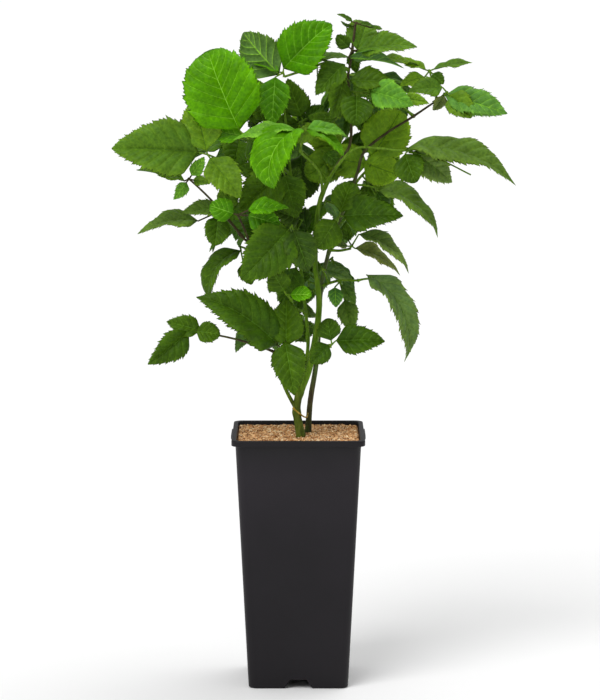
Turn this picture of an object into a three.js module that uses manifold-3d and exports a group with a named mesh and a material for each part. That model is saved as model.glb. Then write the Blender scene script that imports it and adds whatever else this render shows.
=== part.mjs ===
// A bramble bush in a tall square plastic pot, at its real size in millimetres, +Z up.
// The origin is the centre of the pot's flat underside. The front of the plant faces -Y.

import * as THREE from 'three';
import { mergeVertices } from 'three/addons/utils/BufferGeometryUtils.js';
import Module from 'manifold-3d';

const wasm = await Module();
wasm.setup();

// Pot
const POT_HEIGHT = 257;
const POT_FOOT_HALF = 50.5;
const POT_TOP_HALF = 63.3;
const POT_WALL = 1.4;
const POT_FLOOR = 12;
const POT_FOOT_BEVEL = 2;
const POT_CORNER = 8;
const LIP_HALF = 67;
const LIP_DEPTH = 6;
const LIP_INNER_HALF = 62.3;
const TAB_LENGTH = 46;
const TAB_REACH = 1.2;
const TAB_BELOW_RIM = 1.5;
const NOTCH_HEIGHT = 9.5;
const NOTCH_FOOT_WIDTH = 30;
const NOTCH_TOP_WIDTH = 17;
const NOTCH_DEPTH = 42;

// Compost and mulch
const GAP = 0.3;
const MULCH_TOP = 254;
const MULCH_DEPTH = 12;

// Leaf proportions
const LEAF_THICKNESS = 0.024;
const LEAF_FOLD = 12;
const BLADE_BASE = 0.5;
const PETIOLULE = 4;
const STRONG_ARCH = 90;
const LATERAL_SIZE = 0.82;
const STALK_RADIUS = 0.9;

// Limbs and twigs
const LIMB_STEPS = 80;
const LIMB_STRIDE = 5;
const CANE_SIDES = 8;
const BOUGH_SIDES = 6;
const FLARE_FALL = 28;
const STEM_RADIUS = 1.5;
const STEM_TAPER = 0.3;
const STEM_SIDES = 4;
const STEM_STEPS = 40;
const STEM_STRIDE = 10;
const PETIOLE_RADIUS = 1.15;
const PETIOLE_RISE = 0.08;
const PETIOLE_SIDES = 3;
const PETIOLE_STEPS = 3;
const KNOT_REACH = 1.6;
const ROOT_SUNK = 1.2;
const START_STEP = 0.1;
const WELD = 0.02;

// How near the parts of one mass may come to another mass and to a limb
const LEAF_CLEARANCE = 6.5;
const LIMB_CLEARANCE = 3;
const TRIES = 200;

// Ranges of the seeded rule: angles in degrees, lengths in mm or as a share of the leaf's size
const SPRAY_RISE = 0.08;
const FIRST_LEAF = 0.4;
const LEAF_SPAN = 0.5;
const TURN_ASIDE = [40, 80];
const TURN_AHEAD = [-20, 20];
const PETIOLE_ASIDE = [0.4, 0.66];
const PETIOLE_AHEAD = [8, 14];
const PETIOLE_CLIMB = [0, 0.7];
const LEAF_SCALE = [0.84, 1.12];
const LATERAL_SPREAD = [56, 76];
const LEAFLET_DROOP = [16, 66];
const LEAFLET_ROLL = [-30, 30];
const LEAFLET_WIDTH = [0.62, 0.74];
const LEAFLET_ARCH = [14, 46];
const TERMINAL_STALK = 0.2;

// How sharp the tip of a blade is, at widths given as a share of its length
const TIP_SHARPNESS = [[0.4, 1.25], [0.58, 0.95], [0.72, 0.95], [0.84, 0.6]];

const GREEN = 0x5a8a26;
const DARK_GREEN = 0x48701c;
const BRIGHT_GREEN = 0x6fae1c;

const vec = (x, y, z) => new THREE.Vector3(x, y, z);
const radians = THREE.MathUtils.degToRad;
const FRONT = vec(0, -1, 0);
const UP = vec(0, 0, 1);

// Canes and boughs. Each one is a smooth curve through a few places on it, with a radius at its
// foot and at its tip. A bough starts at a height on the limb that carries it.
const LIMBS = [
  { name: 'green_cane', foot: 4.1, tip: 1.9, flare: 1.2,
    route: [[2.6, -20, 254.3], [-1.6, -14, 285], [12, -10, 326], [21, -6, 385], [17, -2, 430],
      [21, 0, 488], [31.7, 0, 516]] },
  { name: 'dark_cane', foot: 2.9, tip: 1.5, flare: 0.8,
    route: [[9.7, 2, 254.3], [12, 7, 285], [19, 11, 330], [24, 10, 407], [37, 4, 460],
      [53, 2, 499], [60, 2, 522]] },
  { name: 'left_branch', foot: 2, tip: 1.5, on: 'green_cane', height: 278,
    route: [[-14.4, -10, 305], [-20, -9, 323], [-21, -18, 337]] },
  { name: 'slim_cane', foot: 1.9, tip: 1.1, on: 'green_cane', height: 297,
    route: [[6, -4, 318], [9.8, 1, 345], [5, 6, 400], [-3, 8, 465], [-9, 4, 531], [-16, -4, 606]] },
  { name: 'top_bough', foot: 1.7, tip: 1.1, on: 'green_cane', height: 'tip',
    route: [[38.6, 2, 527], [51.8, 4, 548], [52, 3, 590], [50, 0, 617], [53, 0, 634]] },
  { name: 'right_bough', foot: 1.5, tip: 1, on: 'dark_cane', height: 'tip',
    route: [[66, 6, 540], [90, 11, 560], [114, 10, 575], [136, 7, 590]] },
];

// Masses of foliage on the side that faces the front. Each has one stem, which starts at a height
// on its limb and runs through the stem's places. Each leaf leaves the stem at a share of its
// length and ends in a joint. A leaflet's numbers: angle in the upright plane that faces the front,
// anticlockwise from +X; angle turned toward the front; length; width; roll of its upper face from
// the front toward its left-hand side; bend from base to tip; and its base seen from the joint.
const MASSES = [
  { name: 'leaf_mass_top', limb: 'top_bough', height: 'tip', stem: [[54, 0, 643], [57, 2, 668]],
    leaves: [
      { at: 0.2, joint: [54, -2, 643], leaflets: [
        [70, -42, 42, 34, 0, 22, 5, 0, 0], [5, 4, 62, 36, 55, 22], [-9, 4, 58, 34, 108, 20, -4, -1, -7],
        [-9, -12, 38, 24, 76, 10, 31, 8, -9], [136, 10, 18, 15, 10, 14]] },
      { at: 1, joint: [58, 2, 670], leaflets: [
        [155, 5, 18, 8, -55, 20], [-6, 5, 13, 7, 50, 15], [-9, -8, 13, 7, 50, 15, 14, 2, -4],
        [156, -20, 15, 8, 60, 15, -3, 4, -4]] },
    ] },
  { name: 'leaf_mass_upper_left', limb: 'top_bough', height: 622,
    stem: [[32, -5, 631], [2, -9, 622], [-14, -10, 617]],
    leaves: [
      { at: 1, joint: [-15, -11, 621], leaflets: [
        [131, 6, 56, 44, 160, 18, -4, 0, -2], [44, 8, 67, 52, 18, 30, 0, 0, 4],
        [-94, 14, 50, 34, -8, 14, -8, -4, -4], [163, -10, 31, 22, -72, 12]] },
      { at: 0.25, joint: [16, -2, 634], leaflets: [[3, -14, 34, 26, 74, 16]] },
    ] },
  { name: 'leaf_mass_upper_middle', limb: 'top_bough', height: 596,
    stem: [[50, -12, 604], [48, -18, 610]],
    leaves: [
      { at: 1, joint: [46, -18, 618], leaflets: [
        [226, 10, 43, 30, -28, 18, 0, 0, 12], [-106, 14, 42, 30, 30, 14],
        [-2, 6, 44, 32, 50, 22, 5, 0, -5]] },
      { at: 0.5, joint: [58, -22, 602], leaflets: [
        [-92, 38, 36, 34, 5, 20], [-18, 12, 47, 32, 24, 22, 13, -4, 2],
        [-10, 0, 28, 15, 30, 14, 46, 6, -6]] },
    ] },
  { name: 'leaf_mass_right_tip', limb: 'right_bough', height: 'tip',
    stem: [[144, 5, 596], [147, 3, 599]],
    leaves: [
      { at: 1, joint: [149, 0, 601], leaflets: [
        [-16, 8, 66, 36, 40, 14, -2, 0, -3], [-45, 26, 34, 27, 10, 18], [-125, -16, 20, 15, 30, 10],
        [184, 12, 36, 24, -40, 14, -4, 0, 5], [-26, -22, 56, 30, 30, 24]] },
      { at: 0.3, joint: [132, 10, 622], leaflets: [
        [10, 6, 40, 18, 66, 16, 4, 0, 2], [160, -18, 35, 16, -56, 10],
        [198, 14, 27, 18, -42, 16, -5, 0, -6],
        [-42, 20, 16, 13, 10, 14]] },
    ] },
  { name: 'leaf_mass_right', limb: 'green_cane', height: 507,
    stem: [[38, -12, 526], [57, -22, 546], [80, -34, 547], [100, -39, 545]],
    leaves: [
      { at: 1, joint: [109, -40, 545], leaflets: [
        [-17, 8, 117, 49, 62, 65, -3, 0, 1], [-70, 24, 32, 32, -10, 20, -3, 0, -3],
        [-38, -14, 54, 32, 16, 24, 5, 4, -1]] },
    ] },
  { name: 'leaf_mass_right_inner', limb: 'dark_cane', height: 505,
    stem: [[62, 10, 514], [72, 18, 524]],
    leaves: [
      { at: 1, joint: [74, 20, 527], leaflets: [
        [58, -6, 58, 50, 6, 18, 0, 0, 6], [-20, 6, 38, 36, 8, 14, -8, 0, 2], [172, -6, 46, 36, -8, 14]] },
      { at: 0.1, joint: [77, -14, 506], leaflets: [
        [-36.7, 8, 79, 38, 62, 72], [-66, -24, 30, 22, 30, 20]] },
    ] },
  { name: 'leaf_mass_middle_right', limb: 'dark_cane', height: 452,
    stem: [[37, -12, 462], [39, -24, 474]],
    leaves: [
      { at: 1, joint: [40.6, -30, 479], leaflets: [
        [2, 6, 61, 40, 34, 18], [69, -18, 34, 30, 5, 14], [-124, 20, 35, 31, 8, 16, -3, 0, -4]] },
    ] },
  { name: 'leaf_mass_right_hanging', limb: 'dark_cane', height: 440,
    stem: [[42, 3, 441], [52, 1, 443]],
    leaves: [
      { at: 1, joint: [54, 0, 446], leaflets: [
        [177, 14, 17, 10, -56, 10], [-36, 8, 66, 28, 62, 60, 7, -10, 13],
        [-32, -6, 55, 25, 62, 50], [100, 0, 20, 13, 20, 14, -3, 8, 4]] },
    ] },
  { name: 'leaf_mass_lower_right', limb: 'dark_cane', height: 402,
    stem: [[33, 6, 408], [43, 2, 411], [60, -10, 412]],
    leaves: [
      { at: 1, joint: [76, -20, 415], leaflets: [
        [-66, 8, 98, 42, 50, 106, -7, 0, 4]] },
      { at: 0.4, joint: [42, 4, 409], leaflets: [
        [-54, 6, 24, 14, 20, 16], [-87, 20, 21, 16, 10, 14, -5, -3, -5],
        [-77, 4, 34, 22, 8, 16, 5, 5, -19]] },
      { at: 0.2, joint: [24, -8, 424], leaflets: [[-19, 8, 28, 17, 42, 16]] },
    ] },
  { name: 'leaf_mass_foot_right', limb: 'green_cane', height: 336,
    stem: [[24, -20, 342], [32, -28, 347]],
    leaves: [
      { at: 1, joint: [33.7, -30, 349.5], leaflets: [
        [1, 6, 50, 31, 24, 20, 4, 0, 4], [100, -10, 23, 24, 6, 14], [-137, 20, 27, 22, 8, 16, -3, 0, 0]] },
    ] },
  { name: 'leaf_mass_foot_left', limb: 'left_branch', height: 'tip',
    stem: [[-20, -27, 343], [-17, -36, 346]],
    leaves: [
      { at: 1, joint: [-15.2, -40, 346], leaflets: [
        [147, 8, 99, 54, -38, 64, -5, 0, 4], [90, -6, 47, 37, 4, 16, 3, 0, 3],
        [-80, 12, 55, 35, 4, 18, 2, -2, 8]] },
      { at: 0.2, joint: [-106, -30, 362.5], leaflets: [
        [-142, 10, 53, 30, 16, 20, -4, 0, 0], [166, -6, 36, 23, -22, 14, 8, 2, 1],
        [-8, 8, 25, 22, 16, 14, 3, 0, 1]] },
    ] },
  { name: 'leaf_mass_front', limb: 'green_cane', height: 500,
    stem: [[20, -26, 524], [2, -56, 545]],
    leaves: [
      { at: 1, joint: [4.6, -75, 570], leaflets: [
        [187, 6, 66, 30, -70, 24, -5, 0, -3], [-118, 22, 70, 55, -46, 126], [-34, 6, 46, 30, 68, 48],
        [-11, -8, 44, 28, 68, 26]] },
    ] },
  { name: 'leaf_mass_left_wing', limb: 'slim_cane', height: 500,
    stem: [[-32, -6, 514], [-62, -26, 524]],
    leaves: [
      { at: 1, joint: [-90, -50, 542], leaflets: [
        [177, 6, 87, 60, -26, 26, -8, 0, 2], [103, -10, 54, 42, 10, 14], [-51, 16, 52, 35, 16, 18]] },
    ] },
  { name: 'leaf_mass_left', limb: 'slim_cane', height: 436,
    stem: [[-28, -10, 440], [-47, -22, 449], [-58, -28, 460]],
    leaves: [
      { at: 1, joint: [-79, -35, 484], leaflets: [
        [190, 8, 63, 33, -66, 34, -21, 0, -9], [-97, 18, 31, 26, 8, 16], [62, -20, 28, 24, -20, 14],
        [184, 4, 42, 22, -44, 24, 4, 0, 3]] },
      { at: 0.8, joint: [-60, -52, 482], leaflets: [
        [-15, 14, 34, 27, 10, 14, 10, -2, 0], [4, 12, 42, 28, 62, 16, 10, -12, 6],
        [160, 10, 26, 24, -10, 14]] },
      { at: 0.95, joint: [-108.4, -45.3, 517.3], leaflets: [
        [-127, 14, 22, 14, 20, 14], [-10, 10, 18, 12, 30, 14], [55, 0, 23, 14, -10, 14],
        [166, 6, 50, 26, -74, 14, -4.5, 1, -1.5]] },
    ] },
  { name: 'leaf_mass_round', limb: 'slim_cane', height: 536,
    stem: [[-26, -18, 546], [-44, -42, 555]],
    leaves: [
      { at: 1, joint: [-52, -54, 560], leaflets: [
        [112, -4, 88, 76, 4, 66, -6, 0, 6], [-42, 18, 42, 32, 10, 16], [172, -24, 34, 26, -30, 18]] },
      { at: 0.3, joint: [-15, -20, 524], leaflets: [[-139, 14, 56, 42, 4, 18], [-74, 8, 46, 34, 8, 16],
        [178, 16, 44, 30, 6, 16]] },
    ] },
  { name: 'leaf_mass_middle_left', limb: 'slim_cane', height: 414,
    stem: [[-18, -12, 424], [-30, -20, 434]],
    leaves: [
      { at: 1, joint: [-58.5, -15, 447], leaflets: [
        [-122, 8, 62, 37, -58, 106, 1, 0, -4], [-68, 14, 24, 19, 8, 14, 3, -2, -16]] },
      { at: 0.5, joint: [-6.2, -60, 472], leaflets: [
        [-134, 16, 71, 52, 6, 22], [-70, 10, 44, 34, 10, 16]] },
      { at: 0.15, joint: [-1.3, -20, 430], leaflets: [
        [-112, 10, 40, 30, 10, 16]] },
    ] },
  { name: 'leaf_mass_inner_low', limb: 'slim_cane', height: 376,
    stem: [[-3, -18, 385], [-7, -42, 396]],
    leaves: [
      { at: 1, joint: [-12, -54, 403], leaflets: [[0, 12, 22, 19, 46, 14], [120, 24, 30, 24, 0, 14]] },
    ] },
  { name: 'leaf_mass_inner_left', limb: 'slim_cane', height: 556,
    stem: [[-8, 10, 564], [0, 10, 569]],
    leaves: [
      { at: 1, joint: [4.7, 10, 571.5], leaflets: [[110, 4, 42, 30, 10, 16], [-160, 6, 40, 30, 12, 16],
        [36, 4, 22, 17, 8, 14]] },
    ] },
  { name: 'leaf_mass_inner_right', limb: 'green_cane', height: 494,
    stem: [[30, 18, 510], [40, 30, 532]],
    leaves: [
      { at: 1, joint: [47, 34, 540], leaflets: [[-146, 6, 44, 38, 8, 16], [146, -8, 44, 34, -6, 16],
        [184, -4, 22, 22, -6, 14]] },
      { at: 0.5, joint: [4, 58, 538], leaflets: [[-96, 6, 48, 46, 0, 18]] },
      { at: 0.9, joint: [2, 100, 548], leaflets: [
        [-98, -24, 56, 40, 176, 26], [192, -22, 46, 34, -142, 22]] },
    ] },
];

// Sprays that fill the crown behind, each grown by the seeded rule below from a height on its limb,
// at a compass angle (anticlockwise from +X), with a reach and a rise. A spray keeps to its own
// space, between two places along X and two heights.
const SPRAYS = [
  { name: 'leaf_mass_back_low', limb: 'slim_cane', height: 350, compass: 104, reach: 70, rise: 18,
    leaves: 3, size: 52, seed: 11, across: [-84, 24], heights: [322, 404] },
  { name: 'leaf_mass_back_lower', limb: 'dark_cane', height: 384, compass: 92, reach: 82, rise: 30,
    leaves: 3, size: 52, seed: 23, across: [-62, 60], heights: [372, 450] },
  { name: 'leaf_mass_back_middle_left', limb: 'slim_cane', height: 446, compass: 122, reach: 86, rise: 24,
    leaves: 4, size: 58, seed: 37, across: [-95, 8], heights: [412, 512] },
  { name: 'leaf_mass_back_middle_right', limb: 'dark_cane', height: 458, compass: 62, reach: 86, rise: 22,
    leaves: 4, size: 58, seed: 59, across: [0, 106], heights: [412, 514] },
  { name: 'leaf_mass_back_upper_left', limb: 'slim_cane', height: 516, compass: 128, reach: 96, rise: 28,
    leaves: 4, size: 60, seed: 61, across: [-134, -4], heights: [478, 575] },
  { name: 'leaf_mass_back_upper_right', limb: 'right_bough', height: 576, compass: 112, reach: 76, rise: 4,
    leaves: 4, size: 56, seed: 83, across: [20, 106], heights: [510, 604] },
  { name: 'leaf_mass_back_crown_left', limb: 'slim_cane', height: 586, compass: 112, reach: 74, rise: 20,
    leaves: 3, size: 56, seed: 91, across: [-110, -10], heights: [545, 650] },
  { name: 'leaf_mass_back_crown', limb: 'top_bough', height: 588, compass: 72, reach: 76, rise: 22,
    leaves: 4, size: 54, seed: 97, across: [20, 118], heights: [548, 655] },
];

// Seeded numbers from 0 to 1.
function generator(seed) {
  let state = seed;
  return () => {
    state = (state + 0x6d2b79f5) | 0;
    let t = Math.imul(state ^ (state >>> 15), state | 1);
    t ^= t + Math.imul(t ^ (t >>> 7), t | 61);
    return ((t ^ (t >>> 14)) >>> 0) / 4294967296;
  };
}

// Solids from meshes and back.
function solidOf(positions, indices) {
  return new wasm.Manifold(new wasm.Mesh({
    numProp: 3,
    vertProperties: new Float32Array(positions),
    triVerts: new Uint32Array(indices),
  }));
}

function solidOfGeometry(geometry) {
  geometry.deleteAttribute('normal');
  geometry.deleteAttribute('uv');
  const merged = mergeVertices(geometry, 1e-4);
  return solidOf(merged.attributes.position.array, merged.index.array);
}

function geometryOf(solid) {
  const mesh = solid.getMesh();
  const geometry = new THREE.BufferGeometry();
  geometry.setAttribute('position', new THREE.BufferAttribute(mesh.vertProperties, 3));
  geometry.setIndex(new THREE.BufferAttribute(mesh.triVerts, 1));
  geometry.computeVertexNormals();
  return geometry;
}

function largestBody(solid) {
  return solid.decompose().reduce((best, body) => (body.volume() > best.volume() ? body : best));
}

// A closed mesh from rings of equal count. A ring of one point closes an end.
function loft(rings) {
  const positions = [];
  const starts = [];
  for (const ring of rings) {
    starts.push(positions.length / 3);
    for (const p of ring) positions.push(p.x, p.y, p.z);
  }
  const indices = [];
  for (let k = 0; k + 1 < rings.length; k += 1) {
    const count = Math.max(rings[k].length, rings[k + 1].length);
    for (let i = 0; i < count; i += 1) {
      const j = (i + 1) % count;
      const a = starts[k] + (rings[k].length === 1 ? 0 : i);
      const b = starts[k] + (rings[k].length === 1 ? 0 : j);
      const c = starts[k + 1] + (rings[k + 1].length === 1 ? 0 : j);
      const d = starts[k + 1] + (rings[k + 1].length === 1 ? 0 : i);
      if (a !== b) indices.push(a, b, c);
      if (c !== d) indices.push(a, c, d);
    }
  }
  return { positions, indices };
}

// A tapering tube along a route, with flat ends.
function tube(route, radiusAt, sides, flatFoot = false) {
  const rings = [];
  let side = vec(1, 0, 0);
  const last = route.length - 1;
  route.forEach((point, k) => {
    const ahead = route[Math.min(k + 1, last)].clone();
    const along = ahead.sub(route[Math.max(k - 1, 0)]).normalize();
    if (flatFoot && k === 0) along.copy(UP);
    side = side.clone().addScaledVector(along, -side.dot(along)).normalize();
    const other = along.clone().cross(side);
    const radius = radiusAt(k / last);
    const ring = [];
    for (let i = 0; i < sides; i += 1) {
      const turn = (i / sides) * 2 * Math.PI;
      ring.push(point.clone()
        .addScaledVector(side, radius * Math.cos(turn))
        .addScaledVector(other, radius * Math.sin(turn)));
    }
    rings.push(ring);
  });
  const { positions, indices } = loft([[route[0]], ...rings, [route[last]]]);
  return solidOf(positions, indices);
}

function curveThrough(points) {
  return new THREE.CatmullRomCurve3(points, false, 'centripetal');
}

// Pot, compost and mulch
function roundedSquare(half, corner, z) {
  const ring = [];
  const steps = 4;
  for (let quarter = 0; quarter < 4; quarter += 1) {
    const start = (quarter * Math.PI) / 2;
    const sx = quarter === 0 || quarter === 3 ? 1 : -1;
    const sy = quarter < 2 ? 1 : -1;
    for (let i = 0; i <= steps; i += 1) {
      const turn = start + (i / steps) * (Math.PI / 2);
      ring.push(vec(
        sx * (half - corner) + corner * Math.cos(turn),
        sy * (half - corner) + corner * Math.sin(turn),
        z,
      ));
    }
  }
  return ring;
}

// Half width of the pot's outer wall at a height.
function potHalf(z) {
  return THREE.MathUtils.mapLinear(z, 0, POT_HEIGHT, POT_FOOT_HALF, POT_TOP_HALF);
}

function potShell() {
  const lipFoot = POT_HEIGHT - LIP_DEPTH;
  const outline = [
    [POT_FOOT_HALF - POT_FOOT_BEVEL, 0],
    [POT_FOOT_HALF, POT_FOOT_BEVEL],
    [potHalf(lipFoot), lipFoot],
    [LIP_HALF, lipFoot],
    [LIP_HALF, POT_HEIGHT],
    [LIP_INNER_HALF, POT_HEIGHT],
    [potHalf(lipFoot) - POT_WALL, lipFoot],
    [potHalf(POT_FLOOR) - POT_WALL, POT_FLOOR],
  ];
  const rings = outline.map(([half, z]) => roundedSquare(half, POT_CORNER, z));
  const shell = loft([[vec(0, 0, 0)], ...rings, [vec(0, 0, POT_FLOOR)]]);
  let pot = solidOf(shell.positions, shell.indices);
  for (const side of [-1, 1]) {
    pot = pot.add(sideTab(side));
  }
  for (let quarter = 0; quarter < 4; quarter += 1) {
    pot = pot.subtract(drainNotch(quarter));
  }
  return pot;
}

// The low ear on the middle of the left and right sides of the lip.
function sideTab(side) {
  const shape = new THREE.Shape();
  const inner = LIP_HALF - 2;
  const outer = LIP_HALF + TAB_REACH;
  const half = TAB_LENGTH / 2;
  shape.moveTo(side * inner, -half);
  shape.lineTo(side * outer, -half + TAB_REACH);
  shape.lineTo(side * outer, half - TAB_REACH);
  shape.lineTo(side * inner, half);
  const depth = LIP_DEPTH - TAB_BELOW_RIM;
  const geometry = new THREE.ExtrudeGeometry(shape, { depth, bevelEnabled: false });
  geometry.translate(0, 0, POT_HEIGHT - LIP_DEPTH);
  return solidOfGeometry(geometry);
}

// A drainage recess in the middle of each side of the foot.
function drainNotch(quarter) {
  const shape = new THREE.Shape();
  shape.moveTo(-NOTCH_FOOT_WIDTH / 2, -1);
  shape.lineTo(NOTCH_FOOT_WIDTH / 2, -1);
  shape.lineTo(NOTCH_TOP_WIDTH / 2, NOTCH_HEIGHT);
  shape.lineTo(-NOTCH_TOP_WIDTH / 2, NOTCH_HEIGHT);
  const geometry = new THREE.ExtrudeGeometry(shape, { depth: NOTCH_DEPTH, bevelEnabled: false });
  geometry.rotateX(Math.PI / 2);
  geometry.translate(0, -(POT_FOOT_HALF + 1) + NOTCH_DEPTH, 0);
  geometry.rotateZ((quarter * Math.PI) / 2);
  return solidOfGeometry(geometry);
}

// A layer that fills the pot from wall to wall, clear of it by the inset.
function fill(bottom, top, inset) {
  const half = (z) => potHalf(z) - POT_WALL - inset;
  const { positions, indices } = loft([
    [vec(0, 0, bottom)],
    roundedSquare(half(bottom), POT_CORNER, bottom),
    roundedSquare(Math.min(half(top), LIP_INNER_HALF - inset), POT_CORNER, top),
    [vec(0, 0, top)],
  ]);
  return solidOf(positions, indices);
}

// Limbs
const limbs = new Map();

// The nearest place on a limb's middle line, and the limb's radius there.
function nearestOn(limb, point) {
  let best = { distance: Infinity };
  const last = limb.middle.length - 1;
  const segment = new THREE.Line3();
  for (let k = 0; k < last; k += 1) {
    segment.set(limb.middle[k], limb.middle[k + 1]);
    const place = segment.closestPointToPoint(point, true, vec());
    const distance = place.distanceTo(point);
    if (distance < best.distance) best = { distance, place, radius: limb.radiusAt(k / last) };
  }
  return best;
}

function placeOn(limb, height) {
  const { route } = limb;
  if (height === 'tip') return route[route.length - 1];
  const k = route.findIndex((p) => p.z >= height);
  return route[k].clone();
}

// The part of a route that is clear of the limb that it starts on, by the gap.
function clearStart(route, limb, height, radius) {
  if (height === 'tip') {
    const along = route[1].clone().sub(route[0]).normalize();
    return [route[0].clone().addScaledVector(along, 2 * GAP), ...route.slice(1)];
  }
  const isClear = (point, along) => {
    const near = nearestOn(limb, point);
    const out = point.clone().sub(near.place).normalize();
    const lean = Math.sqrt(Math.max(0, 1 - along.dot(out) ** 2));
    return near.distance >= near.radius + radius * lean + GAP;
  };
  for (let k = 0; k + 1 < route.length; k += 1) {
    const along = route[k + 1].clone().sub(route[k]);
    const steps = Math.ceil(along.length() / START_STEP);
    for (let i = 0; i < steps; i += 1) {
      const point = route[k].clone().addScaledVector(along, i / steps);
      if (isClear(point, along.clone().normalize())) return [point, ...route.slice(k + 1)];
    }
  }
  throw new Error('a route stays inside its limb');
}

function growLimb({ name, foot, tip, flare = 0, on, height, route }) {
  const carrier = on && limbs.get(on);
  const places = route.map((p) => vec(...p));
  if (carrier) places.unshift(placeOn(carrier, height));
  const fine = curveThrough(places).getSpacedPoints(LIMB_STEPS);
  const radiusAt = (t) => foot + (tip - foot) * t + flare * Math.exp(-t * FLARE_FALL);
  const clear = carrier ? clearStart(fine, carrier, height, foot) : fine;
  const middle = clear.filter((p, k) => k % LIMB_STRIDE === 0 || k === clear.length - 1);
  limbs.set(name, { name, route: fine, middle, radiusAt });
  return tube(middle, radiusAt, carrier ? BOUGH_SIDES : CANE_SIDES, !carrier);
}

// Leaflets. How sharp the tip of a blade is, from its width as a share of its length.
function tipSharpness(share) {
  const next = TIP_SHARPNESS.findIndex(([width]) => width > share);
  if (next === 0) return TIP_SHARPNESS[0][1];
  if (next < 0) return TIP_SHARPNESS[TIP_SHARPNESS.length - 1][1];
  const [low, high] = [TIP_SHARPNESS[next - 1], TIP_SHARPNESS[next]];
  return THREE.MathUtils.mapLinear(share, low[0], high[0], low[1], high[1]);
}

// Width of a blade at t as a share of its widest. A broad leaflet has a rounder tip than a narrow one.
function bladeWidth(share, t) {
  const tip = tipSharpness(share);
  const peak = BLADE_BASE / (BLADE_BASE + tip);
  const shape = (s) => s ** BLADE_BASE * (1 - s) ** tip;
  return shape(t) / shape(peak);
}

// A point of a leaflet: t from base to tip, v from -1 to 1 across it.
function bladePoint({ base, along, up, length, width, arch }, t, v) {
  const bend = radians(Math.max(arch, 1));
  const radius = length / (2 * Math.sin(bend / 2));
  const turn = bend * (t - 0.5);
  const left = up.clone().cross(along);
  const half = (width / 2) * bladeWidth(width / length, t);
  const fold = Math.abs(v) * half * Math.tan(radians(LEAF_FOLD));
  const lift = radius * (Math.cos(turn) - Math.cos(bend / 2)) + fold;
  return base.clone()
    .addScaledVector(along, radius * (Math.sin(turn) + Math.sin(bend / 2)))
    .addScaledVector(up, lift)
    .addScaledVector(left, v * half);
}

function bladeNormal({ along, up, arch }, t) {
  const turn = radians(Math.max(arch, 1)) * (t - 0.5);
  return up.clone().multiplyScalar(Math.cos(turn)).addScaledVector(along, Math.sin(turn));
}

// Places of a blade's rings along its midrib, more of them on a larger or a strongly bent leaf.
function stationsOf({ length, arch }) {
  if (length > 70 || arch > STRONG_ARCH) return [0.14, 0.36, 0.62, 0.85];
  if (length > 54) return [0.18, 0.46, 0.77];
  return [0.28, 0.66];
}

// A leaflet from its joint: rings of four points along its stalk, where it has one, and its blade.
function leafletSolid(joint, leaflet) {
  const { base, along, up, length } = leaflet;
  const thick = Math.max(length * LEAF_THICKNESS, 0.8);
  const left = up.clone().cross(along);
  const rings = stationsOf(leaflet).map((t) => {
    const middle = bladePoint(leaflet, t, 0);
    const below = middle.clone().addScaledVector(bladeNormal(leaflet, t), -thick);
    return [bladePoint(leaflet, t, 1), middle, bladePoint(leaflet, t, -1), below];
  });
  const stalk = base.clone().sub(joint);
  if (stalk.length() > 2 * PETIOLULE) {
    rings.unshift([[1, 0], [0, 0.5], [-1, 0], [0, -1]].map(([across, over]) => joint.clone()
      .addScaledVector(left, across * STALK_RADIUS)
      .addScaledVector(up, over * STALK_RADIUS)));
  }
  const root = joint.clone().addScaledVector(stalk.normalize(), -ROOT_SUNK);
  const { positions, indices } = loft([[root], ...rings, [bladePoint(leaflet, 1, 0)]]);
  return solidOf(positions, indices);
}

function frontLeaflet(joint, [fan, toward, length, width, roll, arch, dx, dy, dz]) {
  const a = radians(fan);
  const b = radians(toward);
  const along = vec(Math.cos(a) * Math.cos(b), -Math.sin(b), Math.sin(a) * Math.cos(b));
  const face = FRONT.clone().addScaledVector(along, -FRONT.dot(along)).normalize();
  const left = face.clone().cross(along);
  const r = radians(roll);
  const up = face.clone().multiplyScalar(Math.cos(r)).addScaledVector(left, Math.sin(r));
  const base = dx === undefined
    ? joint.clone().addScaledVector(along, PETIOLULE)
    : joint.clone().add(vec(dx, dy, dz));
  return { base, along, up, length, width, arch };
}

// The route of a petiole, which leaves its stem and bends to reach the joint.
function petioleRoute(from, joint) {
  const middle = from.clone().lerp(joint, 0.5);
  middle.z += from.distanceTo(joint) * PETIOLE_RISE;
  const end = joint.clone().addScaledVector(joint.clone().sub(middle).normalize(), KNOT_REACH);
  return new THREE.QuadraticBezierCurve3(from, middle, end).getPoints(PETIOLE_STEPS);
}

// Places already taken by leaves and stems, each with the name of its mass.
const taken = [];

function samplesOf(leaflet) {
  const samples = [];
  for (const t of [0.12, 0.3, 0.5, 0.7, 0.9]) {
    for (const v of [-1, -0.5, 0, 0.5, 1]) samples.push(bladePoint(leaflet, t, v));
  }
  return samples;
}

function isClear(samples, name, { across, heights }) {
  const blades = taken.filter((other) => other.name !== name || other.isBlade);
  return samples.every((p) => {
    if (p.x < across[0] || p.x > across[1] || p.z < heights[0] || p.z > heights[1]) return false;
    for (const limb of limbs.values()) {
      const near = nearestOn(limb, p);
      if (near.distance < near.radius + LIMB_CLEARANCE) return false;
    }
    return blades.every((other) => other.place.distanceTo(p) > LEAF_CLEARANCE);
  });
}

function take(samples, name, isBlade) {
  for (const place of samples) taken.push({ place, name, isBlade });
}

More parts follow.
